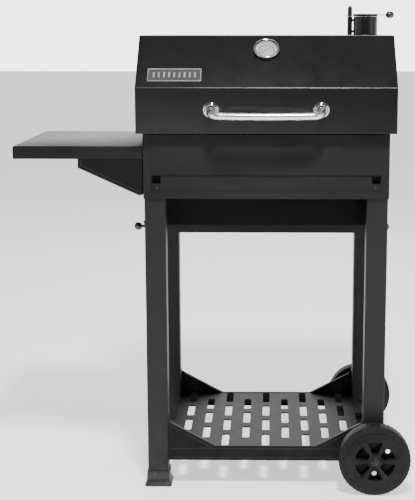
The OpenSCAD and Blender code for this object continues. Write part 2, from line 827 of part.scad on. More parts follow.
module gauge_housing() cart() color("#c9cbcd") on_slope(0, gauge_s)
    difference() {
        cylinder(h = cup_h + bezel_h, r = gauge_r);
        translate([0, 0, cup_floor]) cylinder(h = cup_h - cup_floor, r = gauge_r - cup_wall);
        translate([0, 0, cup_floor]) cylinder(h = cup_h, r = gauge_r - 2 * cup_wall);
        translate([0, 0, -1]) cylinder(h = cup_floor + 2, r = needle_r + running_gap);
    }

module gauge_dial() cart() color("#e9e9e6") on_slope(0, gauge_s) translate([0, 0, cup_floor])
    difference() {
        cylinder(h = dial_t, r = gauge_r - cup_wall - touch_gap);
        translate([0, 0, -1]) cylinder(h = dial_t + 2, r = needle_r + 2 * hole_gap);
    }

module gauge_lens() cart() color("#dfe6ea", 0.4) on_slope(0, gauge_s)
    translate([0, 0, cup_h - lens_t]) cylinder(h = lens_t, r = gauge_r - cup_wall - touch_gap);

// The stem passes through the lid and reads the air inside
module gauge_stem() cart() color("#b8babd") on_slope(0, gauge_s)
    difference() {
        translate([0, 0, -stem_l]) cylinder(h = stem_l, r = stem_r);
        translate([0, 0, -shaft_l - 1]) cylinder(h = shaft_l + 2, r = needle_r + running_gap);
    }

module gauge_nut() cart() color("#9a9c9f") on_slope(0, gauge_s)
    difference() {
        translate([0, 0, -sheet - touch_gap - 5]) cylinder(h = 5, r = 10, $fn = 6);
        translate([0, 0, -sheet - 10]) cylinder(h = 12, r = stem_r + touch_gap);
    }

// A pointer on a thin shaft that turns in the floor of the cup and in the stem
module gauge_needle() cart() color("#b3261e") on_slope(0, gauge_s) {
    translate([0, 0, -shaft_l]) cylinder(h = shaft_l + needle_z + needle_t, r = needle_r);
    rotate([0, 0, 90 + needle_a]) translate([0, 0, needle_z]) linear_extrude(needle_t)
        polygon([[-7, -1.6], [0, -1.8], [gauge_r - 11, -0.4], [gauge_r - 11, 0.4], [0, 1.8], [-7, 1.6]]);
    translate([0, 0, needle_z]) cylinder(h = needle_t + 0.6, r = 3);
}

// A framed plate with a shallow recess and nothing written on it
module badge_plate() cart() color("#a9abae") on_slope(-badge_x, badge_s)
    difference() {
        translate([-badge_w / 2, -badge_h / 2, touch_gap]) cube([badge_w, badge_h, 2]);
        translate([3 - badge_w / 2, 3 - badge_h / 2, touch_gap + 1.2]) cube([badge_w - 6, badge_h - 6, 2]);
    }

// ---------- smoke stack ----------

stack_wall = 1.5;
cap_gap = 0.6;
cap_plate = 1.6;
cap_over = 0.8;
cap_r = stack_r + cap_over;
ear_r = 14;
cap_z = stack_top + cap_gap;
bolt_top_h = 19;
bolt_top_r = 5.7;
wire_r = 1.8;
wire_z = cap_z + cap_plate + 2.4;
wire_l = 19;
wire_grip = 7;
cap_knob_r = 8.75;
cap_knob_l = 5;

module stack_tube() cart() color("#29292c") translate([stack_x, stack_y, 0])
    difference() {
        translate([0, 0, lid_top - 9]) cylinder(h = stack_top - lid_top + 9, r = stack_r);
        translate([0, 0, lid_top - 10]) cylinder(h = stack_h + 20, r = stack_r - stack_wall);
    }

// A ring under the lid that the tube is welded to
module stack_flange() cart() color("#29292c")
    translate([stack_x, stack_y, lid_top - sheet - touch_gap - stack_wall])
    difference() {
        cylinder(h = stack_wall, r = stack_r + 11);
        translate([0, 0, -1]) cylinder(h = 5, r = stack_r);
    }

tab_h = 6;
tab_w = 5;

// A tube for the cap's bolt, with two tabs welded to the stack
module pivot_sleeve() cart() color("#29292c") difference() {
    union() {
        translate([pivot_x, stack_y, lid_top + touch_gap])
            cylinder(h = stack_h - 2 * touch_gap, r = sleeve_r);
        for (z = [lid_top + tab_h, stack_top - 2 * tab_h])
            box(pivot_x, stack_x, stack_y - tab_w / 2, stack_y + tab_w / 2, z, z + tab_h);
    }
    translate([pivot_x, stack_y, lid_top - 1]) cylinder(h = stack_h + 2, r = pivot_r + running_gap);
    translate([stack_x, stack_y, lid_top - 1]) cylinder(h = stack_h + 2, r = stack_r);
}

// A flat cap with a turned-up rim and an ear that swings on the bolt
module stack_cap() cart() color("#232326")
    difference() {
        union() {
            translate([stack_x, stack_y, cap_z]) cylinder(h = cap_h, r = cap_r);
            translate([pivot_x, stack_y, cap_z]) cylinder(h = cap_plate, r = ear_r);
            box(pivot_x, stack_x, stack_y - ear_r, stack_y + ear_r, cap_z, cap_z + cap_plate);
        }
        translate([stack_x, stack_y, cap_z + cap_plate]) cylinder(h = cap_h, r = cap_r - stack_wall);
        translate([pivot_x, stack_y, cap_z - 1]) cylinder(h = 4, r = pivot_r + hole_gap);
        translate([pivot_x, stack_y, cap_z + cap_plate]) cylinder(h = cap_h, r = bolt_top_r + 1);
    }

module cap_bolt() cart() color("#1a1a1c") translate([pivot_x, stack_y, 0]) {
    translate([0, 0, lid_top + 4]) cylinder(h = cap_z + cap_plate - lid_top - 4, r = pivot_r);
    translate([0, 0, cap_z + cap_plate]) cylinder(h = bolt_top_h, r = bolt_top_r);
    translate([0, 0, cap_z + cap_plate + bolt_top_h]) sphere(bolt_top_r);
}

module cap_wire() cart() color("#8d8f92") translate([stack_x + cap_r, stack_y, wire_z])
    rod_x(wire_r, 0, wire_l + wire_grip);

module cap_knob() cart() color("#161617") translate([stack_x + cap_r + wire_l, stack_y, wire_z])
    difference() {
        union() {
            translate([cap_knob_r, 0, 0]) sphere(cap_knob_r);
            rod_x(cap_knob_r, cap_knob_r, cap_knob_r + cap_knob_l);
            translate([cap_knob_r + cap_knob_l, 0, 0]) sphere(cap_knob_r);
        }
        rod_x(wire_r, -1, wire_grip);
    }

// ---------- shelf bolts ----------

// Bolts through the bracket flanges: the lower ones reach into the legs
module shelf_bolts() cart() color("#3a3a3c")
    for (y = [bracket_bolt_y, shelf_d - bracket_bolt_y], i = [0, 1])
        translate([0, y, bracket_bolt_z[i]]) {
            rod_x(bolt_r, bracket_x - sheet, i == 0 ? -leg_outer + 8 : -tub_half - slide_gap);
            rod_x(head_r, bracket_x - sheet - head_h, bracket_x - sheet);
        }

// ---------- wheels ----------

rim_r = rim_d / 2;
boss_r = 15;
spokes = 6;
web_hole_r = 6;
web_hole_at = 37;     // distance of the web's holes from the axle

// A wheel is drawn with its axis along Y and its outer face towards -Y
module at_wheel(back = false) {
    translate([wheel_x, back ? rear_wheel_y + wheel_w : front_wheel_y - wheel_w, wheel_r])
        mirror([0, back ? 1 : 0, 0]) rotate([-90, 0, 0]) children();
}

module tyre() {
    shoulder = 5;
    rotate_extrude() polygon([
        [rim_r + touch_gap, 0], [wheel_r - shoulder + 1, 0], [wheel_r, shoulder],
        [wheel_r, wheel_w - shoulder], [wheel_r - shoulder + 1, wheel_w], [rim_r + touch_gap, wheel_w]
    ]);
}

// One of the pockets between two spokes
module pocket() {
    r0 = boss_r + 4;
    r1 = rim_r * 0.68;
    a = 180 / spokes - 9;
    steps = 4;
    linear_extrude(wheel_w / 2) polygon(concat(
        [[r0 * cos(a), r0 * sin(a)], [r0 * cos(a), -r0 * sin(a)]],
        [for (i = [-steps : steps]) let (b = a * i / steps) [r1 * cos(b), r1 * sin(b)]]
    ));
}

module wheel_body() {
    difference() {
        cylinder(h = wheel_w - 2, r = rim_r);
        for (i = [0 : spokes - 1])
            rotate([0, 0, (i + 0.5) * 360 / spokes]) translate([0, 0, -1]) {
                pocket();
                if (i % 2 == 1) translate([web_hole_at, 0, 0]) cylinder(h = wheel_w, r = web_hole_r);
            }
        translate([0, 0, wheel_w / 2 + 3]) difference() {
            cylinder(h = wheel_w, r = rim_r - 4);
            translate([0, 0, -1]) cylinder(h = wheel_w + 2, r = boss_r);
        }
        translate([0, 0, -1]) cylinder(h = wheel_w + 2, r = axle_r + running_gap);
    }
}

module front_tyre() cart() color("#2d2d2f") at_wheel() tyre();
module front_wheel() cart() color("#333335") at_wheel() wheel_body();
module rear_tyre() cart() color("#2d2d2f") at_wheel(true) tyre();
module rear_wheel() cart() color("#333335") at_wheel(true) wheel_body();

leg_front_left();
leg_front_right();
leg_rear_left();
leg_rear_right();
foot_front();
foot_rear();
leg_plugs();
storage_shelf();
front_rail();
rear_rail();
left_panel();
right_panel();
front_panel();
back_panel();
fire_tub();
tub_ends();
tub_rivets();
grate_ledges();
charcoal_grate();
cooking_grate_left();
cooking_grate_right();
pan_rails();
side_shelf();
bracket_front();
bracket_rear();
frame_bolts();
rail_bolts();
shelf_bolts();
axle();
axle_spacers();
axle_nuts();
hinge_brackets();
hinge_pins();
ash_pan();
pan_knobs();
lid_shell();
lid_end_left();
lid_end_right();
hinge_leaves();
lid_handle();
handle_rosettes();
handle_screws();
gauge_housing();
gauge_dial();
gauge_lens();
gauge_stem();
gauge_nut();
gauge_needle();
badge_plate();
stack_tube();
stack_flange();
pivot_sleeve();
stack_cap();
cap_bolt();
cap_wire();
cap_knob();
front_tyre();
front_wheel();
rear_tyre();
rear_wheel();
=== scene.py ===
import logging
import math
from collections.abc import Callable, Sequence
from dataclasses import dataclass
from enum import Enum

import bmesh
import bpy
from mathutils import Matrix, Vector


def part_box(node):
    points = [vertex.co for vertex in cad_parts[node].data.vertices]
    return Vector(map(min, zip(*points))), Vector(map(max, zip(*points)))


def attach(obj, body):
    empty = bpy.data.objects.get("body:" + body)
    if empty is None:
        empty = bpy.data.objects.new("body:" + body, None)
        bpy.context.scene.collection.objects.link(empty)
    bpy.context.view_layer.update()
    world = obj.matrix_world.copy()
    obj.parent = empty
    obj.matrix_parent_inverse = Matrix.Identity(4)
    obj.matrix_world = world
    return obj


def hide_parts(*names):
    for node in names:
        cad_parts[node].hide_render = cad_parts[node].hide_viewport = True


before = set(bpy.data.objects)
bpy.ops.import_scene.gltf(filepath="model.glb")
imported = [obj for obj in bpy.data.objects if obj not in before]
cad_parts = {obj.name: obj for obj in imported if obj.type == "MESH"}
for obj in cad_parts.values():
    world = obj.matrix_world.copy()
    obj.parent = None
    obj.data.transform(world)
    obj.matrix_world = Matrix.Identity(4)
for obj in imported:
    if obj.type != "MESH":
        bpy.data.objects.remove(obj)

log = logging.getLogger("grill_cart")

MM = 0.001
NODES: dict[str, bpy.types.Object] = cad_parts
Point = tuple[float, float]
Object = bpy.types.Object
Material = bpy.types.Material
BMesh = bmesh.types.BMesh


class Body(str, Enum):
    """The moving bodies that a piece can ride on."""

    ROOT = "root"
    LID = "lid"
    PAN = "ash_pan"
    NEEDLE = "needle"
    CAP = "stack_cap"
    FRONT_WHEEL = "front_wheel"
    REAR_WHEEL = "rear_wheel"


@dataclass(frozen=True)
class Box:
    """The box round one or more CAD nodes, in metres."""

    lo: Vector
    hi: Vector

    @classmethod
    def of(cls, *names: str) -> "Box":
        """Returns the box round the named CAD nodes."""
        corners = [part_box(name) for name in names]
        lo = Vector([min(c[0][i] for c in corners) for i in range(3)])
        hi = Vector([max(c[1][i] for c in corners) for i in range(3)])
        return cls(lo, hi)

    @property
    def centre(self) -> Vector:
        """The middle of the box."""
        return (self.lo + self.hi) / 2

    @property
    def size(self) -> Vector:
        """The box's three sides."""
        return self.hi - self.lo


# ---------------------------------------------------------------- shader building


class Value:
    """A shader socket that takes part in Python arithmetic."""

    def __init__(self, shader: "Shader", socket: bpy.types.NodeSocket) -> None:
        """Wraps an output socket of one of the shader's nodes."""
        self.shader = shader
        self.socket = socket

    def _math(self, operation: str, first: object, second: object = None) -> "Value":
        """Adds a Math node for one operation on numbers or values."""
        inputs = {0: first} if second is None else {0: first, 1: second}
        return self.shader.node("ShaderNodeMath", {"operation": operation}, inputs)

    def __add__(self, other: object) -> "Value":
        """self + other"""
        return self._math("ADD", self, other)

    __radd__ = __add__

    def __sub__(self, other: object) -> "Value":
        """self - other"""
        return self._math("SUBTRACT", self, other)

    def __rsub__(self, other: object) -> "Value":
        """other - self"""
        return self._math("SUBTRACT", other, self)

    def __mul__(self, other: object) -> "Value":
        """self * other"""
        return self._math("MULTIPLY", self, other)

    __rmul__ = __mul__

    def __truediv__(self, other: object) -> "Value":
        """self / other"""
        return self._math("DIVIDE", self, other)

    def ramp(self, low: float, high: float) -> "Value":
        """Goes smoothly from 0 at low to 1 at high."""
        settings = {"interpolation_type": "SMOOTHSTEP"}
        inputs = {"Value": self, "From Min": low, "From Max": high}
        return self.shader.node("ShaderNodeMapRange", settings, inputs)


class Shader:
    """A material whose nodes are added one by one."""

    def __init__(self, name: str) -> None:
        """Starts an empty material with this name."""
        self.material = bpy.data.materials.new(name)
        self.material.use_nodes = True
        self.tree = self.material.node_tree
        self.tree.nodes.clear()
        self.place = self.node("ShaderNodeTexCoord", {}, {}, "Object")

    def node(self, kind: str, settings: dict, inputs: dict, output: object = 0) -> Value:
        """Adds a node.

        Args:
            kind: the node's type name.
            settings: properties set before the sockets.
            inputs: socket name or number to a number, colour, vector or Value.
            output: name or number of the output to return.

        Returns:
            The chosen output, wrapped.
        """
        made = self.tree.nodes.new(kind)
        for key, value in settings.items():
            setattr(made, key, value)
        for key, value in inputs.items():
            target = self._socket(made.inputs, key)
            if isinstance(value, Value):
                self.tree.links.new(value.socket, target)
            else:
                target.default_value = value
        return Value(self, self._socket(made.outputs, output))

    @staticmethod
    def _socket(sockets: bpy.types.bpy_prop_collection, key: object) -> bpy.types.NodeSocket:
        """Finds a socket by number or by identifier."""
        if isinstance(key, int):
            return sockets[key]
        return next(socket for socket in sockets if socket.identifier == key)

    def coords(self, stretch: Sequence[float] = (1, 1, 1)) -> Value:
        """Object coordinates, stretched along each axis."""
        return self.node("ShaderNodeMapping", {}, {"Vector": self.place, "Scale": stretch})

    def noise(self, scale: float, detail: float = 3, stretch: Sequence[float] = (1, 1, 1)) -> Value:
        """Fractal noise of about 0 to 1 on Object coordinates."""
        inputs = {"Vector": self.coords(stretch), "Scale": scale, "Detail": detail}
        return self.node("ShaderNodeTexNoise", {}, inputs, "Fac")

    def axis(self, name: str) -> Value:
        """One of the Object coordinates, X, Y or Z."""
        return self.node("ShaderNodeSeparateXYZ", {}, {0: self.place}, name)

    def mix(self, factor: object, first: object, second: object) -> Value:
        """Mixes two colours."""
        inputs = {"Factor_Float": factor, "A_Color": first, "B_Color": second}
        settings = {"data_type": "RGBA", "clamp_factor": True}
        return self.node("ShaderNodeMix", settings, inputs, "Result_Color")

    def bump(self, height: Value, distance: float, strength: float = 1.0) -> Value:
        """A Bump node's normal from a height of 0 to 1."""
        inputs = {"Height": height, "Distance": distance, "Strength": strength}
        return self.node("ShaderNodeBump", {}, inputs)

    def finish(self, sockets: dict) -> Material:
        """Adds the main shader with these sockets and returns the material."""
        surface = self.node("ShaderNodeBsdfPrincipled", {}, sockets)
        made = self.tree.nodes.new("ShaderNodeOutputMaterial")
        self.tree.links.new(surface.socket, made.inputs["Surface"])
        return self.material


def grey(level: float, warmth: float = 0.0) -> tuple[float, float, float, float]:
    """A grey colour, a little red where warmth is above 0 and blue where it is below."""
    return (level * (1 + warmth), level, level * (1 - warmth), 1.0)


# ---------------------------------------------------------------- finishes


@dataclass(frozen=True)
class Paint:
    """Black coating on steel: a fine orange-peel, soft mottling, rubbed spots and settled dust."""

    name: str
    level: float
    roughness: float = 0.42
    grain: float = 420.0
    grain_depth: float = 0.00009
    dust: float = 0.10
    dust_top: float = 0.22
    rub: float = 0.5
    shine: float = 0.5

    def build(self) -> Material:
        """Returns the material."""
        s = Shader(self.name)
        mottle = s.noise(7.0, 4)
        cloud = s.noise(31.0, 3)
        peel = s.noise(self.grain, 2)
        base = s.mix(mottle.ramp(0.3, 0.7), grey(self.level * 0.86, -0.02), grey(self.level * 1.16, -0.02))
        scuff = s.noise(46.0, 5, (1.0, 1.0, 7.0)).ramp(0.66, 0.74) * self.rub
        base = s.mix(scuff * 0.35, base, grey(self.level * 2.6 + 0.01))
        low = 1 - s.axis("Z").ramp(0.0, self.dust_top)
        dusty = low * cloud.ramp(0.42, 0.72) * self.dust
        base = s.mix(dusty, base, (0.20, 0.185, 0.165, 1.0))
        rough = (cloud - 0.5) * 0.12 + self.roughness + scuff * 0.12 + dusty * 0.5
        return s.finish({
            "Base Color": base, "Roughness": rough, "Specular IOR Level": self.shine,
            "Normal": s.bump(peel, self.grain_depth),
        })


@dataclass(frozen=True)
class Brushed:
    """Steel with fine lines along one axis and faint finger marks."""

    name: str
    level: float = 0.62
    roughness: float = 0.28
    along: tuple[float, float, float] = (6.0, 900.0, 900.0)

    def build(self) -> Material:
        """Returns the material."""
        s = Shader(self.name)
        lines = s.noise(1.0, 3, self.along)
        marks = s.noise(38.0, 3)
        base = s.mix(lines.ramp(0.3, 0.7), grey(self.level * 0.86, 0.01), grey(self.level * 1.06, 0.01))
        rough = lines * 0.12 + marks.ramp(0.45, 0.7) * 0.08 + (self.roughness - 0.06)
        return s.finish({
            "Base Color": base, "Metallic": 1.0, "Roughness": rough, "Normal": s.bump(lines, 0.00002),
        })


@dataclass(frozen=True)
class Chrome:
    """Polished plating with a light haze."""

    name: str
    level: float = 0.74
    haze: float = 0.10

    def build(self) -> Material:
        """Returns the material."""
        s = Shader(self.name)
        smear = s.noise(55.0, 4)
        base = s.mix(smear, grey(self.level * 0.94), grey(self.level * 1.04))
        rough = smear.ramp(0.35, 0.75) * self.haze + 0.05
        return s.finish({
            "Base Color": base, "Metallic": 1.0, "Roughness": rough,
            "Normal": s.bump(s.noise(260.0, 2), 0.00001),
        })


@dataclass(frozen=True)
class Moulded:
    """Moulded plastic or rubber: spark-eroded grain, scuffed and dusty towards the floor."""

    name: str
    level: float
    roughness: float = 0.5
    grain: float = 1300.0
    grain_depth: float = 0.00005
    dust: float = 0.16
    dust_top: float = 0.20
    shine: float = 0.35

    def build(self) -> Material:
        """Returns the material."""
        s = Shader(self.name)
        cloud = s.noise(24.0, 4)
        fine = s.noise(self.grain, 2)
        base = s.mix(cloud, grey(self.level * 0.85, -0.02), grey(self.level * 1.2, -0.02))
        low = 1 - s.axis("Z").ramp(0.0, self.dust_top)
        wear = s.noise(90.0, 4).ramp(0.52, 0.76) * low * self.dust
        base = s.mix(wear, base, (0.17, 0.16, 0.145, 1.0))
        rough = self.roughness + (cloud - 0.5) * 0.14 + wear * 0.4
        return s.finish({
            "Base Color": base, "Roughness": rough, "Specular IOR Level": self.shine,
            "Normal": s.bump(fine, self.grain_depth),
        })


@dataclass(frozen=True)
class Seasoned:
    """Oiled cooking steel, brown-black in patches with a faint sheen."""

    name: str

    def build(self) -> Material:
        """Returns the material."""
        s = Shader(self.name)
        patch = s.noise(26.0, 5)
        speck = s.noise(240.0, 3)
        base = s.mix(patch.ramp(0.35, 0.68), grey(0.035, 0.05), (0.085, 0.062, 0.045, 1.0))
        base = s.mix(speck.ramp(0.6, 0.75) * 0.5, base, grey(0.16, 0.03))
        rough = patch.ramp(0.3, 0.7) * 0.3 + 0.34
        return s.finish({
            "Base Color": base, "Metallic": 0.55, "Roughness": rough, "Normal": s.bump(speck, 0.00012),
        })


@dataclass(frozen=True)
class Glossy:
    """Polished phenolic: deep black under a clear skin."""

    name: str
    level: float = 0.012

    def build(self) -> Material:
        """Returns the material."""
        s = Shader(self.name)
        smear = s.noise(70.0, 3)
        base = s.mix(smear, grey(self.level), grey(self.level * 1.8))
        rough = smear * 0.12 + 0.18
        return s.finish({
            "Base Color": base, "Roughness": rough, "Coat Weight": 0.5, "Coat Roughness": 0.08,
            "Normal": s.bump(smear, 0.00003),
        })


@dataclass(frozen=True)
class Dial:
    """A printed dial face: a spun silver ground, darker near its rim."""

    name: str
    centre: Vector
    radius: float

    def build(self) -> Material:
        """Returns the material."""
        s = Shader(self.name)
        offset = s.node("ShaderNodeVectorMath", {"operation": "SUBTRACT"}, {0: s.place, 1: self.centre})
        span = s.node("ShaderNodeVectorMath", {"operation": "LENGTH"}, {0: offset}, "Value")
        rings = s.node("ShaderNodeMath", {"operation": "SINE"}, {0: span * 9000.0})
        tone = s.mix(rings * 0.5 + 0.5, grey(0.36, 0.01), grey(0.43, 0.01))
        base = s.mix((span / self.radius).ramp(0.82, 1.0) * 0.6, tone, grey(0.32))
        spots = s.noise(300.0, 3)
        return s.finish({
            "Base Color": base, "Metallic": 0.35, "Roughness": spots * 0.2 + 0.26,
            "Normal": s.bump(rings, 0.000005),
        })


@dataclass(frozen=True)
class Enamel:
    """A small enamelled or printed mark."""

    name: str
    colour: tuple[float, float, float, float]
    roughness: float = 0.35

    def build(self) -> Material:
        """Returns the material."""
        s = Shader(self.name)
        cloud = s.noise(400.0, 3)
        base = s.mix(cloud * 0.35, self.colour, grey(0.12))
        return s.finish({
            "Base Color": base, "Roughness": cloud * 0.15 + self.roughness, "Normal": s.bump(cloud, 0.00001),
        })


@dataclass(frozen=True)
class Glass:
    """A clear lens with a few faint smears."""

    name: str
    alpha: float = 0.10

    def build(self) -> Material:
        """Returns the material."""
        s = Shader(self.name)
        smear = s.noise(120.0, 3).ramp(0.5, 0.8)
        return s.finish({
            "Base Color": grey(0.9, -0.02), "Roughness": smear * 0.12 + 0.03,
            "Alpha": smear * 0.06 + self.alpha,
        })


class Finishes:
    """Every material of the cart, built once."""

    def __init__(self, dial_centre: Vector, dial_radius: float) -> None:
        """Builds the finishes.

        Args:
            dial_centre: the middle of the gauge's face.
            dial_radius: the radius of that face.
        """
        self.frame_paint = Paint("frame_paint", 0.014, 0.46, dust=0.06, shine=0.18).build()
        # Painted shade: a darker copy of the frame paint, for the rails and the shelf brackets that sit in
        # shadow.
        self.rail_paint = Paint("rail_paint", 0.006, 0.46, dust=0.03, shine=0.10).build()
        self.panel_paint = Paint("panel_paint", 0.015, 0.50, rub=0.3, shine=0.08).build()
        self.lid_paint = Paint("lid_paint", 0.0055, 0.30, 300.0, 0.00007, rub=0.0, shine=0.26).build()
        self.shelf_paint = Paint("shelf_paint", 0.012, 0.42, rub=0.8, dust=0.05, shine=0.06).build()
        self.plate_paint = Paint("plate_paint", 0.011, 0.46, rub=0.8, dust=0.03, shine=0.07).build()
        # Partly painted shade: the tub paint is its own rough finish, but its very low level is darkened to
        # stand in for the shadow on the recessed tub and ash pan.
        self.tub_paint = Paint("tub_paint", 0.004, 0.62, 700.0, 0.00012, shine=0.08).build()
        self.bolts = Paint("bolt_black", 0.008, 0.34, 900.0, 0.00003, rub=1.0, shine=0.3).build()
        self.handle = Brushed("handle_steel", 0.80, 0.26).build()
        self.fixings = Brushed("fixing_steel", 0.50, 0.34, (300.0, 300.0, 300.0)).build()
        self.chrome = Chrome("rosette_chrome").build()
        self.badge = Brushed("badge_steel", 0.72, 0.30, (900.0, 6.0, 900.0)).build()
        self.badge_field = Enamel("badge_field", grey(0.004), 0.55).build()
        self.dial = Dial("dial_face", dial_centre, dial_radius).build()
        self.dial_marks = Enamel("dial_marks", grey(0.03)).build()
        self.pointer = Enamel("pointer_red", (0.34, 0.03, 0.02, 1.0)).build()
        self.lens = Glass("lens_glass").build()
        self.knob = Glossy("knob_plastic").build()
        self.foot = Moulded("foot_plastic", 0.016, 0.46).build()
        self.wheel = Moulded("wheel_plastic", 0.008, 0.44, dust=0.07, shine=0.14).build()
        self.tyre = Moulded("tyre_rubber", 0.009, 0.60, 700.0, 0.00010, dust=0.10, shine=0.16).build()
        self.grate = Seasoned("grate_steel").build()


# ---------------------------------------------------------------- mesh building


def smooth(mesh: bpy.types.Mesh, angle: float = 32.0) -> None:
    """Shades a mesh smooth, apart from edges sharper than the angle in degrees."""
    for face in mesh.polygons:
        face.use_smooth = True
    mesh.set_sharp_from_angle(angle=math.radians(angle))


def to_object(bm: BMesh, name: str, material: Material) -> Object:
    """Turns a bmesh into a linked object with one material and frees it."""
    mesh = bpy.data.meshes.new(name)
    bm.to_mesh(mesh)
    bm.free()
    mesh.materials.append(material)
    smooth(mesh)
    made = bpy.data.objects.new(name, mesh)
    bpy.context.scene.collection.objects.link(made)
    return made


def baked(made: Object) -> Object:
    """Applies every modifier of an object to its mesh."""
    name = made.data.name
    graph = bpy.context.evaluated_depsgraph_get()
    graph.update()
    mesh = bpy.data.meshes.new_from_object(made.evaluated_get(graph))
    made.modifiers.clear()
    old = made.data
    made.data = mesh
    bpy.data.meshes.remove(old)
    mesh.name = name
    return made


def bevelled(made: Object, width: float, segments: int = 2, angle: float = 32.0) -> Object:
    """Rounds the edges of an object that are sharper than the angle, and bakes the result."""
    bevel = made.modifiers.new("round", "BEVEL")
    bevel.width = width
    bevel.segments = segments
    bevel.limit_method = "ANGLE"
    bevel.angle_limit = math.radians(angle)
    bevel.use_clamp_overlap = True
    bevel.harden_normals = True
    return baked(made)


def copied(node: str, material: Material, width: float, segments: int = 2) -> Object:
    """A copy of a CAD node with clean flat faces and rounded edges.

    Args:
        node: the CAD node's name.
        material: the finish of the copy.
        width: the rounding of its edges.
        segments: the number of faces across each rounding.

    Returns:
        The new object.
    """
    bm = bmesh.new()
    bm.from_mesh(NODES[node].data)
    bmesh.ops.remove_doubles(bm, verts=bm.verts, dist=0.002 * MM)
    bmesh.ops.dissolve_limit(bm, angle_limit=math.radians(0.5), verts=bm.verts, edges=bm.edges)
    return bevelled(to_object(bm, node + "_finished", material), width, segments)


def islands(node: str) -> list[Box]:
    """The boxes of the separate solids in a CAD node, sorted by their centres."""
    bm = bmesh.new()
    bm.from_mesh(NODES[node].data)
    bmesh.ops.remove_doubles(bm, verts=bm.verts, dist=0.002 * MM)
    left = set(bm.verts)
    found = []
    while left:
        stack = [left.pop()]
        group = []
        while stack:
            vert = stack.pop()
            group.append(vert.co.copy())
            for edge in vert.link_edges:
                other = edge.other_vert(vert)
                if other in left:
                    left.remove(other)
                    stack.append(other)
        lo = Vector([min(p[i] for p in group) for i in range(3)])
        hi = Vector([max(p[i] for p in group) for i in range(3)])
        found.append(Box(lo, hi))
    bm.free()
    return sorted(found, key=lambda b: tuple(round(c, 5) for c in b.centre))


def lathe(profile: Sequence[Point], turns: int = 64) -> BMesh:
    """Spins a profile of (radius, height) points about Z into a closed skin.

    Args:
        profile: the points; the first and last are joined, through the axis where their radius is 0.
        turns: the number of steps round the axis.

    Returns:
        The new bmesh, with its faces outwards.
    """
    bm = bmesh.new()
    rings = []
    for radius, height in profile:
        if radius < 1e-9:
            rings.append([bm.verts.new((0, 0, height))])
            continue
        rings.append([
            bm.verts.new((radius * math.cos(a), radius * math.sin(a), height))
            for a in (2 * math.pi * i / turns for i in range(turns))
        ])
    for first, second in zip(rings, rings[1:] + rings[:1]):
        for i in range(turns):
            j = (i + 1) % turns
            corners = [first[i % len(first)], first[j % len(first)]]
            corners += [second[j % len(second)], second[i % len(second)]]
            unique = list(dict.fromkeys(corners))
            if len(unique) > 2:
                bm.faces.new(unique)
    bmesh.ops.recalc_face_normals(bm, faces=bm.faces)
    return bm


def arc(centre: Point, radius: float, start: float, end: float, steps: int) -> list[Point]:
    """Points on an arc, from start to end in degrees."""
    angles = [math.radians(start + (end - start) * i / steps) for i in range(steps + 1)]
    return [(centre[0] + radius * math.cos(a), centre[1] + radius * math.sin(a)) for a in angles]


def rounded_rect(width: float, height: float, radius: float, steps: int = 5) -> list[Point]:
    """The outline of a rectangle with round corners, anticlockwise about the origin."""
    x, y = width / 2 - radius, height / 2 - radius
    corners = [((x, y), 0), ((-x, y), 90), ((-x, -y), 180), ((x, -y), 270)]
    return [p for c, a in corners for p in arc(c, radius, a, a + 90, steps)]


def dome(radius: float, base: float, rise: float, steps: int = 8) -> list[Point]:
    """A quarter of an ellipse, from the rim at the base's height up to the axis."""
    angles = [math.radians(90 * i / steps) for i in range(steps)]
    return [(radius * math.cos(a), base + rise * math.sin(a)) for a in angles] + [(0.0, base + rise)]


def skin(rings: Sequence[tuple[Sequence[Point], float]], looped: bool = False,
         centre: Point = (0.0, 0.0)) -> BMesh:
    """Joins (X, Y) outlines at their heights into a closed skin.

    Args:
        rings: pairs of an outline and its height, all with the same number of points.
        looped: joins the last ring to the first, where otherwise both ends get a flat face.
        centre: the point that the outlines are drawn about.

    Returns:
        The new bmesh, with its faces outwards.
    """
    bm = bmesh.new()
    loops = [[bm.verts.new((centre[0] + x, centre[1] + y, z)) for x, y in outline] for outline, z in rings]
    after = loops[1:] + loops[:1] if looped else loops[1:]
    for first, second in zip(loops, after):
        for i in range(len(first)):
            j = (i + 1) % len(first)
            bm.faces.new((first[i], first[j], second[j], second[i]))
    if not looped:
        bm.faces.new(loops[-1])
        bm.faces.new(loops[0][::-1])
    bmesh.ops.recalc_face_normals(bm, faces=bm.faces)
    return bm


def prism(outline: Sequence[Point], low: float, high: float) -> BMesh:
    """A closed prism on an (X, Y) outline, from one height to another."""
    return skin([(outline, low), (outline, high)])


def join(*parts: Object) -> Object:
    """Joins plain mesh objects into the first one, keeping each one's materials."""
    bm = bmesh.new()
    keep: list[Material] = []
    for part in parts:
        start = len(bm.faces)
        bm.from_mesh(part.data)
        bm.faces.ensure_lookup_table()
        for face in bm.faces[start:]:
            material = part.data.materials[face.material_index]
            if material not in keep:
                keep.append(material)
            face.material_index = keep.index(material)
    mesh = bpy.data.meshes.new(parts[0].name)
    bm.to_mesh(mesh)
    bm.free()
    for material in keep:
        mesh.materials.append(material)
    smooth(mesh)
    parts[0].data = mesh
    for part in parts[1:]:
        bpy.data.objects.remove(part)
    return parts[0]


def turned(bm: BMesh, matrix: Matrix) -> BMesh:
    """Moves a bmesh by a matrix and returns it."""
    bmesh.ops.transform(bm, matrix=matrix, verts=bm.verts)
    return bm


def along(axis: Vector, origin: Vector) -> Matrix:
    """A matrix that puts local Z along an axis and the local origin at a point."""
    turn = axis.to_track_quat("Z", "Y").to_matrix().to_4x4()
    return Matrix.Translation(origin) @ turn


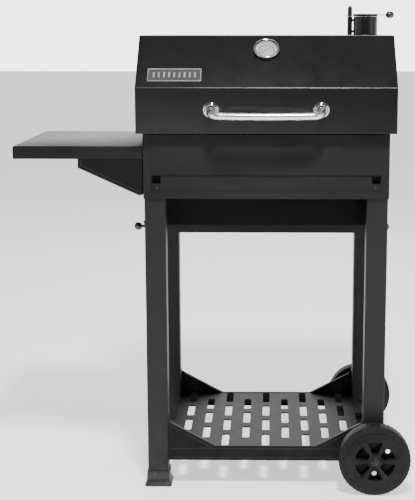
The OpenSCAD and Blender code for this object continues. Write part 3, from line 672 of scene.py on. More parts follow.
def sheet(path: Sequence[Point], low: float, high: float, across: str, outward: Vector,
          name: str, material: Material, thickness: float, radius: float) -> Object:
    """Folds a strip of sheet steel along a section.

    Args:
        path: the section's outer points, in (Y, Z) across X or in (X, Y) across Z.
        low: where the strip starts along the other axis.
        high: where it ends.
        across: that axis, X or Z.
        outward: the direction that the largest face points in.
        name: the new object's name.
        material: its finish.
        thickness: the steel's thickness, inwards from the path.
        radius: the outer radius of each fold.

    Returns:
        The folded sheet.
    """
    bm = bmesh.new()
    rows = []
    for a, b in path:
        ends = [(low, a, b), (high, a, b)] if across == "X" else [(a, b, low), (a, b, high)]
        rows.append([bm.verts.new(p) for p in ends])
    for first, second in zip(rows, rows[1:]):
        bm.faces.new((first[0], first[1], second[1], second[0]))
    bmesh.ops.recalc_face_normals(bm, faces=bm.faces)
    largest = max(bm.faces, key=lambda f: f.calc_area())
    if largest.normal.dot(outward) < 0:
        bmesh.ops.reverse_faces(bm, faces=bm.faces)
    made = to_object(bm, name, material)
    made = bevelled(made, radius * 0.42, 4, 20.0)
    wall = made.modifiers.new("wall", "SOLIDIFY")
    wall.thickness = thickness
    wall.offset = -1
    wall.use_even_offset = True
    baked(made)
    smooth(made.data, 24.0)
    return made


def cut(made: Object, *cutters: Object) -> Object:
    """Cuts closed shapes out of an object and removes them."""
    for cutter in cutters:
        hole = made.modifiers.new("hole", "BOOLEAN")
        hole.operation = "DIFFERENCE"
        hole.solver = "EXACT"
        hole.object = cutter
    baked(made)
    for cutter in cutters:
        bpy.data.objects.remove(cutter)
    smooth(made.data, 24.0)
    return made


def settle(piece: Object, body: Body, slot: str, *replaced: str) -> Object:
    """Hangs a finished piece on its body, and says which CAD nodes it stands for."""
    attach(piece, body.value)
    if replaced:
        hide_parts(*replaced)
    log.info("%s: %d faces on %s", piece.name, len(piece.data.polygons), body.value)
    return piece


def dress(node: str, material: Material) -> None:
    """Gives a CAD node that keeps its shape its finish."""
    slots = NODES[node].data.materials
    slots.clear()
    slots.append(material)


# ---------------------------------------------------------------- geometry nodes


class NodeTree:
    """A Geometry Nodes tree with named inputs, run once and baked to a plain mesh."""

    def __init__(self, name: str, inputs: Sequence[tuple[str, str]]) -> None:
        """Starts a tree.

        Args:
            name: the tree's name.
            inputs: the label and socket type of each input.
        """
        self.tree = bpy.data.node_groups.new(name, "GeometryNodeTree")
        self.tree.is_modifier = True
        face = self.tree.interface
        face.new_socket("Geometry", in_out="INPUT", socket_type="NodeSocketGeometry")
        self.labels = {
            label: face.new_socket(label, in_out="INPUT", socket_type=kind).identifier
            for label, kind in inputs
        }
        face.new_socket("Geometry", in_out="OUTPUT", socket_type="NodeSocketGeometry")
        self.entry = self.tree.nodes.new("NodeGroupInput")
        self.exit = self.tree.nodes.new("NodeGroupOutput")

    def given(self, label: str) -> bpy.types.NodeSocket:
        """The socket of a named input."""
        return self.entry.outputs[label]

    def node(self, kind: str, settings: dict, inputs: dict, output: object = 0) -> bpy.types.NodeSocket:
        """Adds a node.

        Args:
            kind: the node's type name.
            settings: properties set before the sockets.
            inputs: socket name or number to a plain value or a socket.
            output: name or number of the output to return.

        Returns:
            The chosen output socket.
        """
        made = self.tree.nodes.new(kind)
        for key, value in settings.items():
            setattr(made, key, value)
        for key, value in inputs.items():
            if isinstance(value, bpy.types.NodeSocket):
                self.tree.links.new(value, made.inputs[key])
            else:
                made.inputs[key].default_value = value
        return made.outputs[output]

    def math(self, operation: str, first: object, second: object) -> bpy.types.NodeSocket:
        """A Math node on two numbers."""
        return self.node("ShaderNodeMath", {"operation": operation}, {0: first, 1: second})

    def end(self, geometry: bpy.types.NodeSocket) -> None:
        """Realises the instances, sets the finish and links the output."""
        real = self.node("GeometryNodeRealizeInstances", {}, {"Geometry": geometry})
        made = self.node("GeometryNodeSetMaterial", {}, {"Geometry": real, "Material": self.given("Finish")})
        self.tree.links.new(made, self.exit.inputs[0])

    def run(self, name: str, values: dict, base: bpy.types.Mesh | None = None) -> Object:
        """Bakes the tree with these input values.

        Args:
            name: the new object's name.
            values: input label to its value.
            base: the mesh that the tree starts from, if it needs one.

        Returns:
            The baked object.
        """
        made = bpy.data.objects.new(name, base or bpy.data.meshes.new(name))
        bpy.context.scene.collection.objects.link(made)
        change = made.modifiers.new("make", "NODES")
        change.node_group = self.tree
        for label, value in values.items():
            change[self.labels[label]] = value
        baked(made)
        smooth(made.data)
        return made


def ring_tree() -> NodeTree:
    """A tree that sets copies of a template round local Z, then turns and places the ring."""
    t = NodeTree("ring_of_copies", [
        ("Template", "NodeSocketObject"), ("Count", "NodeSocketInt"), ("Radius", "NodeSocketFloat"),
        ("Start", "NodeSocketFloat"), ("Step", "NodeSocketFloat"), ("Place", "NodeSocketVector"),
        ("Turn", "NodeSocketVector"), ("Finish", "NodeSocketMaterial"),
    ])
    index = t.node("GeometryNodeInputIndex", {}, {})
    angle = t.math("ADD", t.math("MULTIPLY", index, t.given("Step")), t.given("Start"))
    x = t.math("MULTIPLY", t.node("ShaderNodeMath", {"operation": "COSINE"}, {0: angle}), t.given("Radius"))
    y = t.math("MULTIPLY", t.node("ShaderNodeMath", {"operation": "SINE"}, {0: angle}), t.given("Radius"))
    spot = t.node("ShaderNodeCombineXYZ", {}, {"X": x, "Y": y})
    points = t.node("GeometryNodePoints", {}, {"Count": t.given("Count"), "Position": spot})
    template = t.node("GeometryNodeObjectInfo", {}, {"Object": t.given("Template")}, "Geometry")
    turn = t.node("ShaderNodeCombineXYZ", {}, {"Z": angle})
    copies = t.node("GeometryNodeInstanceOnPoints", {}, {
        "Points": points, "Instance": template, "Rotation": turn,
    })
    placed = t.node("GeometryNodeTransform", {}, {
        "Geometry": copies, "Translation": t.given("Place"), "Rotation": t.given("Turn"),
    })
    t.end(placed)
    return t


def row_tree() -> NodeTree:
    """A tree that sets copies of a template in a straight row."""
    t = NodeTree("row_of_copies", [
        ("Template", "NodeSocketObject"), ("Count", "NodeSocketInt"), ("First", "NodeSocketVector"),
        ("Step", "NodeSocketVector"), ("Finish", "NodeSocketMaterial"),
    ])
    line = t.node("GeometryNodeMeshLine", {"mode": "OFFSET"}, {
        "Count": t.given("Count"), "Start Location": t.given("First"), "Offset": t.given("Step"),
    })
    template = t.node("GeometryNodeObjectInfo", {}, {"Object": t.given("Template")}, "Geometry")
    t.end(t.node("GeometryNodeInstanceOnPoints", {}, {"Points": line, "Instance": template}))
    return t


def stud_tree() -> NodeTree:
    """A tree that stands a template on each point, along the direction stored in facing."""
    t = NodeTree("studs_on_points", [("Template", "NodeSocketObject"), ("Finish", "NodeSocketMaterial")])
    facing = t.node("GeometryNodeInputNamedAttribute", {"data_type": "FLOAT_VECTOR"}, {"Name": "facing"})
    turn = t.node("FunctionNodeAlignRotationToVector", {"axis": "Z"}, {"Vector": facing})
    template = t.node("GeometryNodeObjectInfo", {}, {"Object": t.given("Template")}, "Geometry")
    t.end(t.node("GeometryNodeInstanceOnPoints", {}, {
        "Points": t.entry.outputs["Geometry"], "Instance": template, "Rotation": turn,
    }))
    return t


def bar_tree() -> NodeTree:
    """A tree that sweeps a round bar along a path of points, with a bend at each corner."""
    t = NodeTree("bar_along_path", [
        ("Radius", "NodeSocketFloat"), ("Bend", "NodeSocketFloat"), ("Sides", "NodeSocketInt"),
        ("Finish", "NodeSocketMaterial"),
    ])
    curve = t.node("GeometryNodeMeshToCurve", {}, {"Mesh": t.entry.outputs["Geometry"]})
    bent = t.node("GeometryNodeFilletCurve", {"mode": "POLY"}, {
        "Curve": curve, "Radius": t.given("Bend"), "Count": 9, "Limit Radius": True,
    })
    round_section = t.node("GeometryNodeCurvePrimitiveCircle", {"mode": "RADIUS"}, {
        "Resolution": t.given("Sides"), "Radius": t.given("Radius"),
    })
    t.end(t.node("GeometryNodeCurveToMesh", {}, {
        "Curve": bent, "Profile Curve": round_section, "Fill Caps": True,
    }))
    return t


class Makers:
    """The Geometry Nodes trees that the sub-assemblies share."""

    def __init__(self) -> None:
        """Builds the trees."""
        self.rings = ring_tree()
        self.rows = row_tree()
        self.studs = stud_tree()
        self.bars = bar_tree()

    def ring(self, name: str, template: Object, count: int, radius: float, start: float,
             step: float, place: Vector, turn: Vector, finish: Material) -> Object:
        """Sets copies of a template in a ring and removes the template."""
        made = self.rings.run(name, {
            "Template": template, "Count": count, "Radius": radius, "Start": start, "Step": step,
            "Place": tuple(place), "Turn": tuple(turn), "Finish": finish,
        })
        bpy.data.objects.remove(template)
        return made

    def row(self, name: str, template: Object, count: int, first: Sequence[float],
            step: Sequence[float], finish: Material) -> Object:
        """Sets copies of a template in a row and removes the template."""
        values = {"Template": template, "Count": count, "First": tuple(first), "Step": tuple(step)}
        made = self.rows.run(name, values | {"Finish": finish})
        bpy.data.objects.remove(template)
        return made

    def stud_field(self, name: str, template: Object, spots: Sequence[tuple[Vector, Vector]],
                   finish: Material) -> Object:
        """Stands copies of a template on (place, direction) spots and removes the template."""
        base = bpy.data.meshes.new(name)
        base.from_pydata([tuple(place) for place, _ in spots], [], [])
        facing = base.attributes.new("facing", "FLOAT_VECTOR", "POINT")
        for item, (_, direction) in zip(facing.data, spots):
            item.vector = direction
        made = self.studs.run(name, {"Template": template, "Finish": finish}, base)
        bpy.data.objects.remove(template)
        return made

    def bar(self, name: str, paths: Sequence[Sequence[Sequence[float]]], radius: float, bend: float,
            finish: Material, sides: int = 16) -> Object:
        """Sweeps a round bar along one or more paths of points."""
        points, edges = [], []
        for path in paths:
            start = len(points)
            points += [tuple(p) for p in path]
            edges += [(start + i, start + i + 1) for i in range(len(path) - 1)]
        base = bpy.data.meshes.new(name)
        base.from_pydata(points, edges, [])
        values = {"Radius": radius, "Bend": bend, "Sides": sides, "Finish": finish}
        return self.bars.run(name, values, base)


# ---------------------------------------------------------------- sub-assemblies


@dataclass
class Part:
    """A sub-assembly: what its methods share."""

    finishes: Finishes
    makers: Makers
    sheet_t: float = 1.5 * MM
    edge: float = 0.45 * MM

    def copies(self, body: Body, slot: str, material: Material, width: float, *names: str) -> None:
        """Replaces CAD nodes by copies of them with rounded edges."""
        for name in names:
            settle(copied(name, material, width), body, slot, name)

    def bolt_template(self, radius: float, height: float) -> Object:
        """A domed bolt head standing on Z = 0."""
        crown = dome(radius, height * 0.35, height * 0.65, 6)
        bm = lathe([(0.0, 0.0), (radius * 0.97, 0.0)] + crown, 28)
        return to_object(bm, "bolt_template", self.finishes.bolts)

    def heads(self, node: str, spots: Sequence[tuple[Vector, Vector]], radius: float, height: float) -> None:
        """Domed heads on (place, direction) spots, which stand for a CAD node of bolts or rivets."""
        template = self.bolt_template(radius, height)
        made = self.makers.stud_field(node.removesuffix("s") + "_heads", template, spots, self.finishes.bolts)
        settle(made, Body.ROOT, "black_bolts", node)


@dataclass
class Undercarriage(Part):
    """Legs, feet, storage shelf and its rails."""

    leg_radius: float = 3.5 * MM
    leg_wall: float = 1.5 * MM
    gusset_l: float = 116 * MM
    gusset_h: float = 62 * MM
    ear_h: float = 8 * MM
    hem_w: float = 9 * MM
    rail_rib: float = 7 * MM
    bead_r: float = 1.3 * MM
    slot_pitch: float = 50 * MM
    slot_row: float = 120 * MM
    slot_w: float = 18 * MM
    slot_l: float = 88 * MM
    slot_corner: float = 4 * MM
    slot_lip: float = 0.8 * MM
    foot_step: float = 5.3 * MM
    foot_step_z: float = 19 * MM
    foot_corner: float = 4 * MM
    bolt_r: float = 6 * MM
    bolt_h: float = 4 * MM

    def build(self) -> None:
        """Makes every piece of the undercarriage."""
        for name in ("leg_front_left", "leg_front_right", "leg_rear_left", "leg_rear_right"):
            self.leg(name)
        self.foot("foot_front")
        self.foot("foot_rear")
        self.copies(Body.ROOT, "foot_plastic", self.finishes.foot, 1.2 * MM, "leg_plugs")
        # The rails take the darker copy of the frame paint, which is painted shade.
        self.copies(Body.ROOT, "frame_paint", self.finishes.rail_paint, self.edge, "front_rail", "rear_rail")
        self.copies(Body.ROOT, "shelf_paint", self.finishes.plate_paint, 0.35 * MM, "storage_shelf")
        self.hems()
        self.slot_rims()
        self.rail_bolts()

    def leg(self, name: str) -> None:
        """A square tube with rounded corners and open ends."""
        box = Box.of(name)
        width = box.size.x
        bore = width - 2 * self.leg_wall
        outer = rounded_rect(width, width, self.leg_radius)
        inner = rounded_rect(bore, bore, self.leg_radius - self.leg_wall)
        low, high = box.lo.z, box.hi.z
        rings = [(outer, low), (outer, high), (inner, high), (inner, low)]
        bm = skin(rings, True, box.centre.xy)
        made = to_object(bm, name + "_tube", self.finishes.frame_paint)
        settle(made, Body.ROOT, "frame_paint", name)

    def foot(self, name: str) -> None:
        """A moulded socket on a base that sweeps outwards to the floor."""
        box = Box.of(name)
        base = box.size.x / 2
        sleeve = base - self.foot_step
        step_z = self.foot_step_z
        top = box.hi.z
        levels = [
            (base - 2 * MM, 0.0), (base - 0.4 * MM, 0.8 * MM), (base, 2.2 * MM), (base, 4.5 * MM),
            (base - 0.9 * MM, 6.0 * MM), (base - 3.2 * MM, 9.5 * MM), (base - 4.6 * MM, 13.5 * MM),
            (sleeve + 0.2 * MM, step_z - 1.5 * MM), (sleeve - 0.5 * MM, step_z),
            (sleeve, step_z + 1.2 * MM), (sleeve, top - 1.6 * MM), (sleeve - 0.5 * MM, top - 0.4 * MM),
            (sleeve - 1.4 * MM, top),
        ]
        rings = [(rounded_rect(2 * half, 2 * half, self.foot_corner), height) for half, height in levels]
        bm = skin(rings, False, box.centre.xy)
        settle(to_object(bm, name + "_moulding", self.finishes.foot), Body.ROOT, "foot_plastic", name)

    def hems(self) -> None:
        """Folded edges along the gussets' slopes: two beads a hem's width apart."""
        paths = []
        slope = math.atan2(self.gusset_h, self.gusset_l)
        side = Vector((math.sin(slope), 0, math.cos(slope)))
        for name, outer in (("front_rail", -1), ("rear_rail", 1)):
            box = Box.of(name)
            y = box.lo.y + 0.3 * MM if outer < 0 else box.hi.y - 0.3 * MM
            tip_z = box.hi.z - self.ear_h
            rail_top = tip_z - self.gusset_h
            for sign in (-1, 1):
                tip_x = box.lo.x if sign < 0 else box.hi.x
                for depth in (self.bead_r, self.hem_w):
                    drop = side.z * depth
                    top = Vector((tip_x - sign * 2 * MM, y, tip_z - MM - drop))
                    foot = Vector((tip_x - sign * (self.gusset_l - side.x * depth), y, rail_top - drop))
                    paths.append([top, foot])
            for height in (rail_top - self.rail_rib, box.lo.z + self.rail_rib):
                inset = 4 * MM
                paths.append([Vector((box.lo.x + inset, y, height)), Vector((box.hi.x - inset, y, height))])
        made = self.makers.bar("gusset_hems", paths, self.bead_r, 0.0, self.finishes.frame_paint, 10)
        settle(made, Body.ROOT, "frame_paint")

    def slot_rims(self) -> None:
        """A pressed lip under each drain slot of the storage shelf."""
        box = Box.of("storage_shelf")
        half_rows = 2
        lip = self.slot_lip
        outer = rounded_rect(self.slot_w + 2 * lip, self.slot_l + 2 * lip, self.slot_corner + lip)
        inner = rounded_rect(self.slot_w, self.slot_l, self.slot_corner)
        low, high = box.hi.z - 3.4 * MM, box.hi.z - 1.4 * MM
        parts = []
        columns = int((box.size.x / 2 - self.slot_w) / self.slot_pitch)
        for column in range(-columns, columns + 1):
            shift = 0.5 if column % 2 == 0 else 0.0
            rows = [r + shift for r in range(-half_rows, half_rows + 1)]
            inside = [r for r in rows if abs(r) * self.slot_row + self.slot_l / 2 < box.size.y / 2 - 4 * MM]
            bm = skin([(outer, low), (outer, high), (inner, high), (inner, low)], True)
            template = to_object(bm, "rim_template", self.finishes.plate_paint)
            first = (box.centre.x + column * self.slot_pitch, box.centre.y + inside[0] * self.slot_row, 0)
            parts.append(self.makers.row(
                f"slot_rims_{column + columns}", template, len(inside), first, (0, self.slot_row, 0),
                self.finishes.plate_paint,
            ))
        settle(join(*parts), Body.ROOT, "shelf_paint")

    def rail_bolts(self) -> None:
        """Domed bolt heads on the rails' flanges, inside the legs."""
        middle = Box.of("storage_shelf").centre.x
        spots = []
        for bolt in islands("rail_bolts"):
            inward = Vector((1, 0, 0)) if bolt.centre.x < middle else Vector((-1, 0, 0))
            face = bolt.hi.x - self.bolt_h if inward.x > 0 else bolt.lo.x + self.bolt_h
            spots.append((Vector((face, bolt.centre.y, bolt.centre.z)), inward))
        self.heads("rail_bolts", spots, self.bolt_r, self.bolt_h)


@dataclass
class CookingBox(Part):
    """Body panels, fire tub, grates and their fixings."""

    hem_h: float = 14.5 * MM
    band_h: float = 42.5 * MM
    band_depth: float = 4 * MM
    face_rim: float = 9 * MM
    fold: float = 2.4 * MM
    flange: float = 18 * MM
    hook_w: float = 20 * MM
    hook_h: float = 18 * MM
    hook_in: float = 12.8 * MM
    hook_drop: float = 3 * MM
    face_foot: float = 5.2 * MM
    head_r: float = 5 * MM
    head_out: float = 2.5 * MM
    rod_d: float = 5 * MM
    rod_pitch: float = 14 * MM

    def build(self) -> None:
        """Makes every piece of the cooking box."""
        self.face_panel("front_panel", 1)
        self.face_panel("back_panel", -1)
        self.side_panel("left_panel", -1)
        self.side_panel("right_panel", 1)
        # The tub parts take the tub paint, whose extra darkness is painted shade.
        self.copies(
            Body.ROOT, "tub_paint", self.finishes.tub_paint, self.edge,
            "fire_tub", "tub_ends", "grate_ledges", "pan_rails",
        )
        self.copies(Body.ROOT, "lid_paint", self.finishes.lid_paint, 0.6 * MM, "hinge_brackets")
        dress("hinge_pins", self.finishes.fixings)
        for name in ("cooking_grate_left", "cooking_grate_right", "charcoal_grate"):
            self.grate(name)
        self.bolts()

    def face_panel(self, name: str, facing: int) -> None:
        """The face between the corner flanges, folded into an upper face, a band and a hem.

        Args:
            name: the CAD node that it stands for.
            facing: 1 where the panel faces the front and -1 where it faces the rear.
        """
        box = Box.of(name)
        face_y = box.lo.y if facing > 0 else box.hi.y
        low, high = box.lo.z, box.hi.z
        hem_top = low + self.hem_h
        band_top = hem_top + self.band_h
        section = [
            (self.face_foot, low), (0, low), (0, hem_top), (self.band_depth, hem_top),
            (self.band_depth, band_top), (0, band_top), (0, high), (self.face_rim, high),
        ]
        path = [(face_y + facing * y, z) for y, z in section]
        made = sheet(
            path, box.lo.x, box.hi.x, "X", Vector((0, -facing, 0)), name + "_folded",
            self.finishes.panel_paint, self.sheet_t, self.fold,
        )
        if facing > 0:
            made = cut(made, *self.hook_cutters(box, band_top))
        settle(made, Body.ROOT, "panel_paint", name)

    def hook_cutters(self, box: Box, band_top: float) -> list[Object]:
        """Closed shapes that cut the two hook slots."""
        height = band_top - self.hook_drop - self.hook_h / 2
        found = []
        for x in (box.lo.x + self.hook_in, box.hi.x - self.hook_in):
            bm = prism(rounded_rect(self.hook_w, self.hook_h, 1.5 * MM, 3), -20 * MM, 20 * MM)
            place = Matrix.Translation((x, box.lo.y, height)) @ Matrix.Rotation(math.pi / 2, 4, "X")
            found.append(to_object(turned(bm, place), "hook_cutter", self.finishes.panel_paint))
        return found

    def side_panel(self, name: str, side: int) -> None:
        """A side panel with a flange folded in at the front and at the rear."""
        box = Box.of(name)
        outer = box.lo.x if side < 0 else box.hi.x
        inner = box.hi.x if side < 0 else box.lo.x
        path = [(inner, box.lo.y), (outer, box.lo.y), (outer, box.hi.y), (inner, box.hi.y)]
        made = sheet(
            path, box.lo.z, box.hi.z, "Z", Vector((side, 0, 0)), name + "_folded",
            self.finishes.panel_paint, self.sheet_t, 6.5 * MM,
        )
        settle(made, Body.ROOT, "panel_paint", name)

    def grate(self, name: str) -> None:
        """A grate of round rods on three cross rods."""
        box = Box.of(name)
        radius = self.rod_d / 2
        count = max(2, int((box.size.x - self.rod_d) / self.rod_pitch))
        step = (box.size.x - self.rod_d) / count
        rod = self.rod(box.size.y, Vector((0, 1, 0)))
        top = box.hi.z - radius
        rods = self.makers.row(
            name + "_rods", rod, count + 1, (box.lo.x + radius, box.centre.y, top), (step, 0, 0),
            self.finishes.grate,
        )
        cross_in = 7 * MM
        cross = self.makers.row(
            name + "_cross", self.rod(box.size.x, Vector((1, 0, 0))), 3,
            (box.centre.x, box.lo.y + cross_in, box.lo.z + radius), (0, box.size.y / 2 - cross_in, 0),
            self.finishes.grate,
        )
        settle(join(rods, cross), Body.ROOT, "grate_iron", name)

    def rod(self, length: float, direction: Vector) -> Object:
        """A rod with round ends, centred on the origin."""
        radius = self.rod_d / 2
        end = length / 2
        profile = [(0.0, -end)] + arc((radius * 0.5, -end + radius * 0.5), radius * 0.5, 270, 360, 3)
        profile += [(r, -z) for r, z in reversed(profile[1:])] + [(0.0, end)]
        bm = lathe(profile, 12)
        return to_object(turned(bm, along(direction, Vector())), "rod_template", self.finishes.grate)

    def bolts(self) -> None:
        """Domed heads on the front and back panels, and rivets on the sides."""
        middle = Box.of("fire_tub").centre
        spots = []
        for bolt in islands("frame_bolts"):
            front = bolt.centre.y < middle.y
            face = bolt.lo.y + self.head_out if front else bolt.hi.y - self.head_out
            spots.append((Vector((bolt.centre.x, face, bolt.centre.z)), Vector((0, -1 if front else 1, 0))))
        self.heads("frame_bolts", spots, self.head_r, 3.2 * MM)
        spots = []
        for rivet in islands("tub_rivets"):
            left = rivet.centre.x < middle.x
            face = rivet.lo.x + self.head_out if left else rivet.hi.x - self.head_out
            spots.append((Vector((face, rivet.centre.y, rivet.centre.z)), Vector((-1 if left else 1, 0, 0))))
            inner = rivet.hi.x - 1.5 * MM if left else rivet.lo.x + 1.5 * MM
            spots.append((Vector((inner, rivet.centre.y, rivet.centre.z)), Vector((1 if left else -1, 0, 0))))
        self.heads("tub_rivets", spots, self.head_r, self.head_out)


@dataclass
class SideShelf(Part):
    """The shelf on the left and its brackets."""

    corner: float = 3.5 * MM
    tip: float = 21 * MM
    drop: float = 86 * MM
    heel: float = 9 * MM
    hem_w: float = 8 * MM
    bead_r: float = 1.0 * MM
    bolt_r: float = 6 * MM
    bolt_h: float = 4 * MM

    def build(self) -> None:
        """Makes every piece of the shelf."""
        self.tray()
        # The brackets take the darker copy of the frame paint, which is painted shade.
        self.copies(
            Body.ROOT, "frame_paint", self.finishes.rail_paint, self.edge, "bracket_front", "bracket_rear",
        )
        self.hems()
        self.bolts()

    def tray(self) -> None:
        """A pressed tray, open below, with rounded edges and corners."""
        box = Box.of("side_shelf")
        bm = bmesh.new()
        corners = [(box.lo.x, box.lo.y), (box.hi.x, box.lo.y), (box.hi.x, box.hi.y), (box.lo.x, box.hi.y)]
        low = [bm.verts.new((x, y, box.lo.z)) for x, y in corners]
        high = [bm.verts.new((x, y, box.hi.z)) for x, y in corners]
        for i in range(4):
            j = (i + 1) % 4
            bm.faces.new((low[i], low[j], high[j], high[i]))
        bm.faces.new(high)
        made = to_object(bm, "side_shelf_tray", self.finishes.shelf_paint)
        bevelled(made, self.corner, 4)
        wall = made.modifiers.new("wall", "SOLIDIFY")
        wall.thickness = self.sheet_t
        wall.offset = -1
        baked(made)
        smooth(made.data, 24.0)
        settle(made, Body.ROOT, "shelf_paint", "side_shelf")

    def hems(self) -> None:
        """Folded edges along the lower and outer edges of each bracket."""
        paths = []
        shelf = Box.of("side_shelf")
        for name, outer in (("bracket_front", -1), ("bracket_rear", 1)):
            box = Box.of(name)
            y = box.lo.y + 0.2 * MM if outer < 0 else box.hi.y - 0.2 * MM
            tip = Vector((box.lo.x, y, shelf.lo.z - self.tip))
            low = Vector((box.hi.x - self.heel, y, shelf.lo.z - self.drop))
            slope = (low - tip).normalized()
            up = Vector((-slope.z, 0, slope.x))
            for depth in (self.bead_r, self.hem_w):
                paths.append([tip + up * depth + slope * 2 * MM, low + up * depth])
                x = box.lo.x + depth
                paths.append([Vector((x, y, tip.z + 4 * MM)), Vector((x, y, shelf.lo.z + 2 * MM))])
        made = self.makers.bar("bracket_hems", paths, self.bead_r, 0.0, self.finishes.frame_paint, 10)
        settle(made, Body.ROOT, "frame_paint")

    def bolts(self) -> None:
        """Domed heads on the brackets' flanges."""
        spots = []
        for bolt in islands("shelf_bolts"):
            face = bolt.lo.x + self.bolt_h
            spots.append((Vector((face, bolt.centre.y, bolt.centre.z)), Vector((-1, 0, 0))))
        self.heads("shelf_bolts", spots, self.bolt_r, self.bolt_h)


@dataclass
class AshPan(Part):
    """The pan that slides out under the tub, and its ball knobs."""

    neck_r: float = 4 * MM

    def build(self) -> None:
        """Makes the pan and its knobs."""
        # The pan takes the tub paint, whose extra darkness is painted shade.
        self.copies(Body.PAN, "tub_paint", self.finishes.tub_paint, self.edge, "ash_pan")
        made = [self.knob(box) for box in islands("pan_knobs")]
        settle(join(*made), Body.PAN, "knob_plastic", "pan_knobs")

    def knob(self, box: Box) -> Object:
        """A ball on a waisted neck with a collar against the pan's end."""
        ball = box.size.y / 2
        length = box.size.x
        outward = Vector((-1 if box.centre.x < Box.of("ash_pan").centre.x else 1, 0, 0))
        foot = box.hi.x if outward.x < 0 else box.lo.x
        middle = length - ball
        profile = [(0.0, 0.0), (self.neck_r * 1.5, 0.0), (self.neck_r * 1.5, 1.6 * MM)]
        profile += [(self.neck_r, 2.6 * MM), (self.neck_r * 0.92, middle - ball * 0.86)]
        profile += arc((0.0, middle), ball, -62, 90, 18)[:-1] + [(0.0, length)]
        bm = lathe(profile, 40)
        place = along(outward, Vector((foot, box.centre.y, box.centre.z)))
        return to_object(turned(bm, place), "pan_ball_knobs", self.finishes.knob)


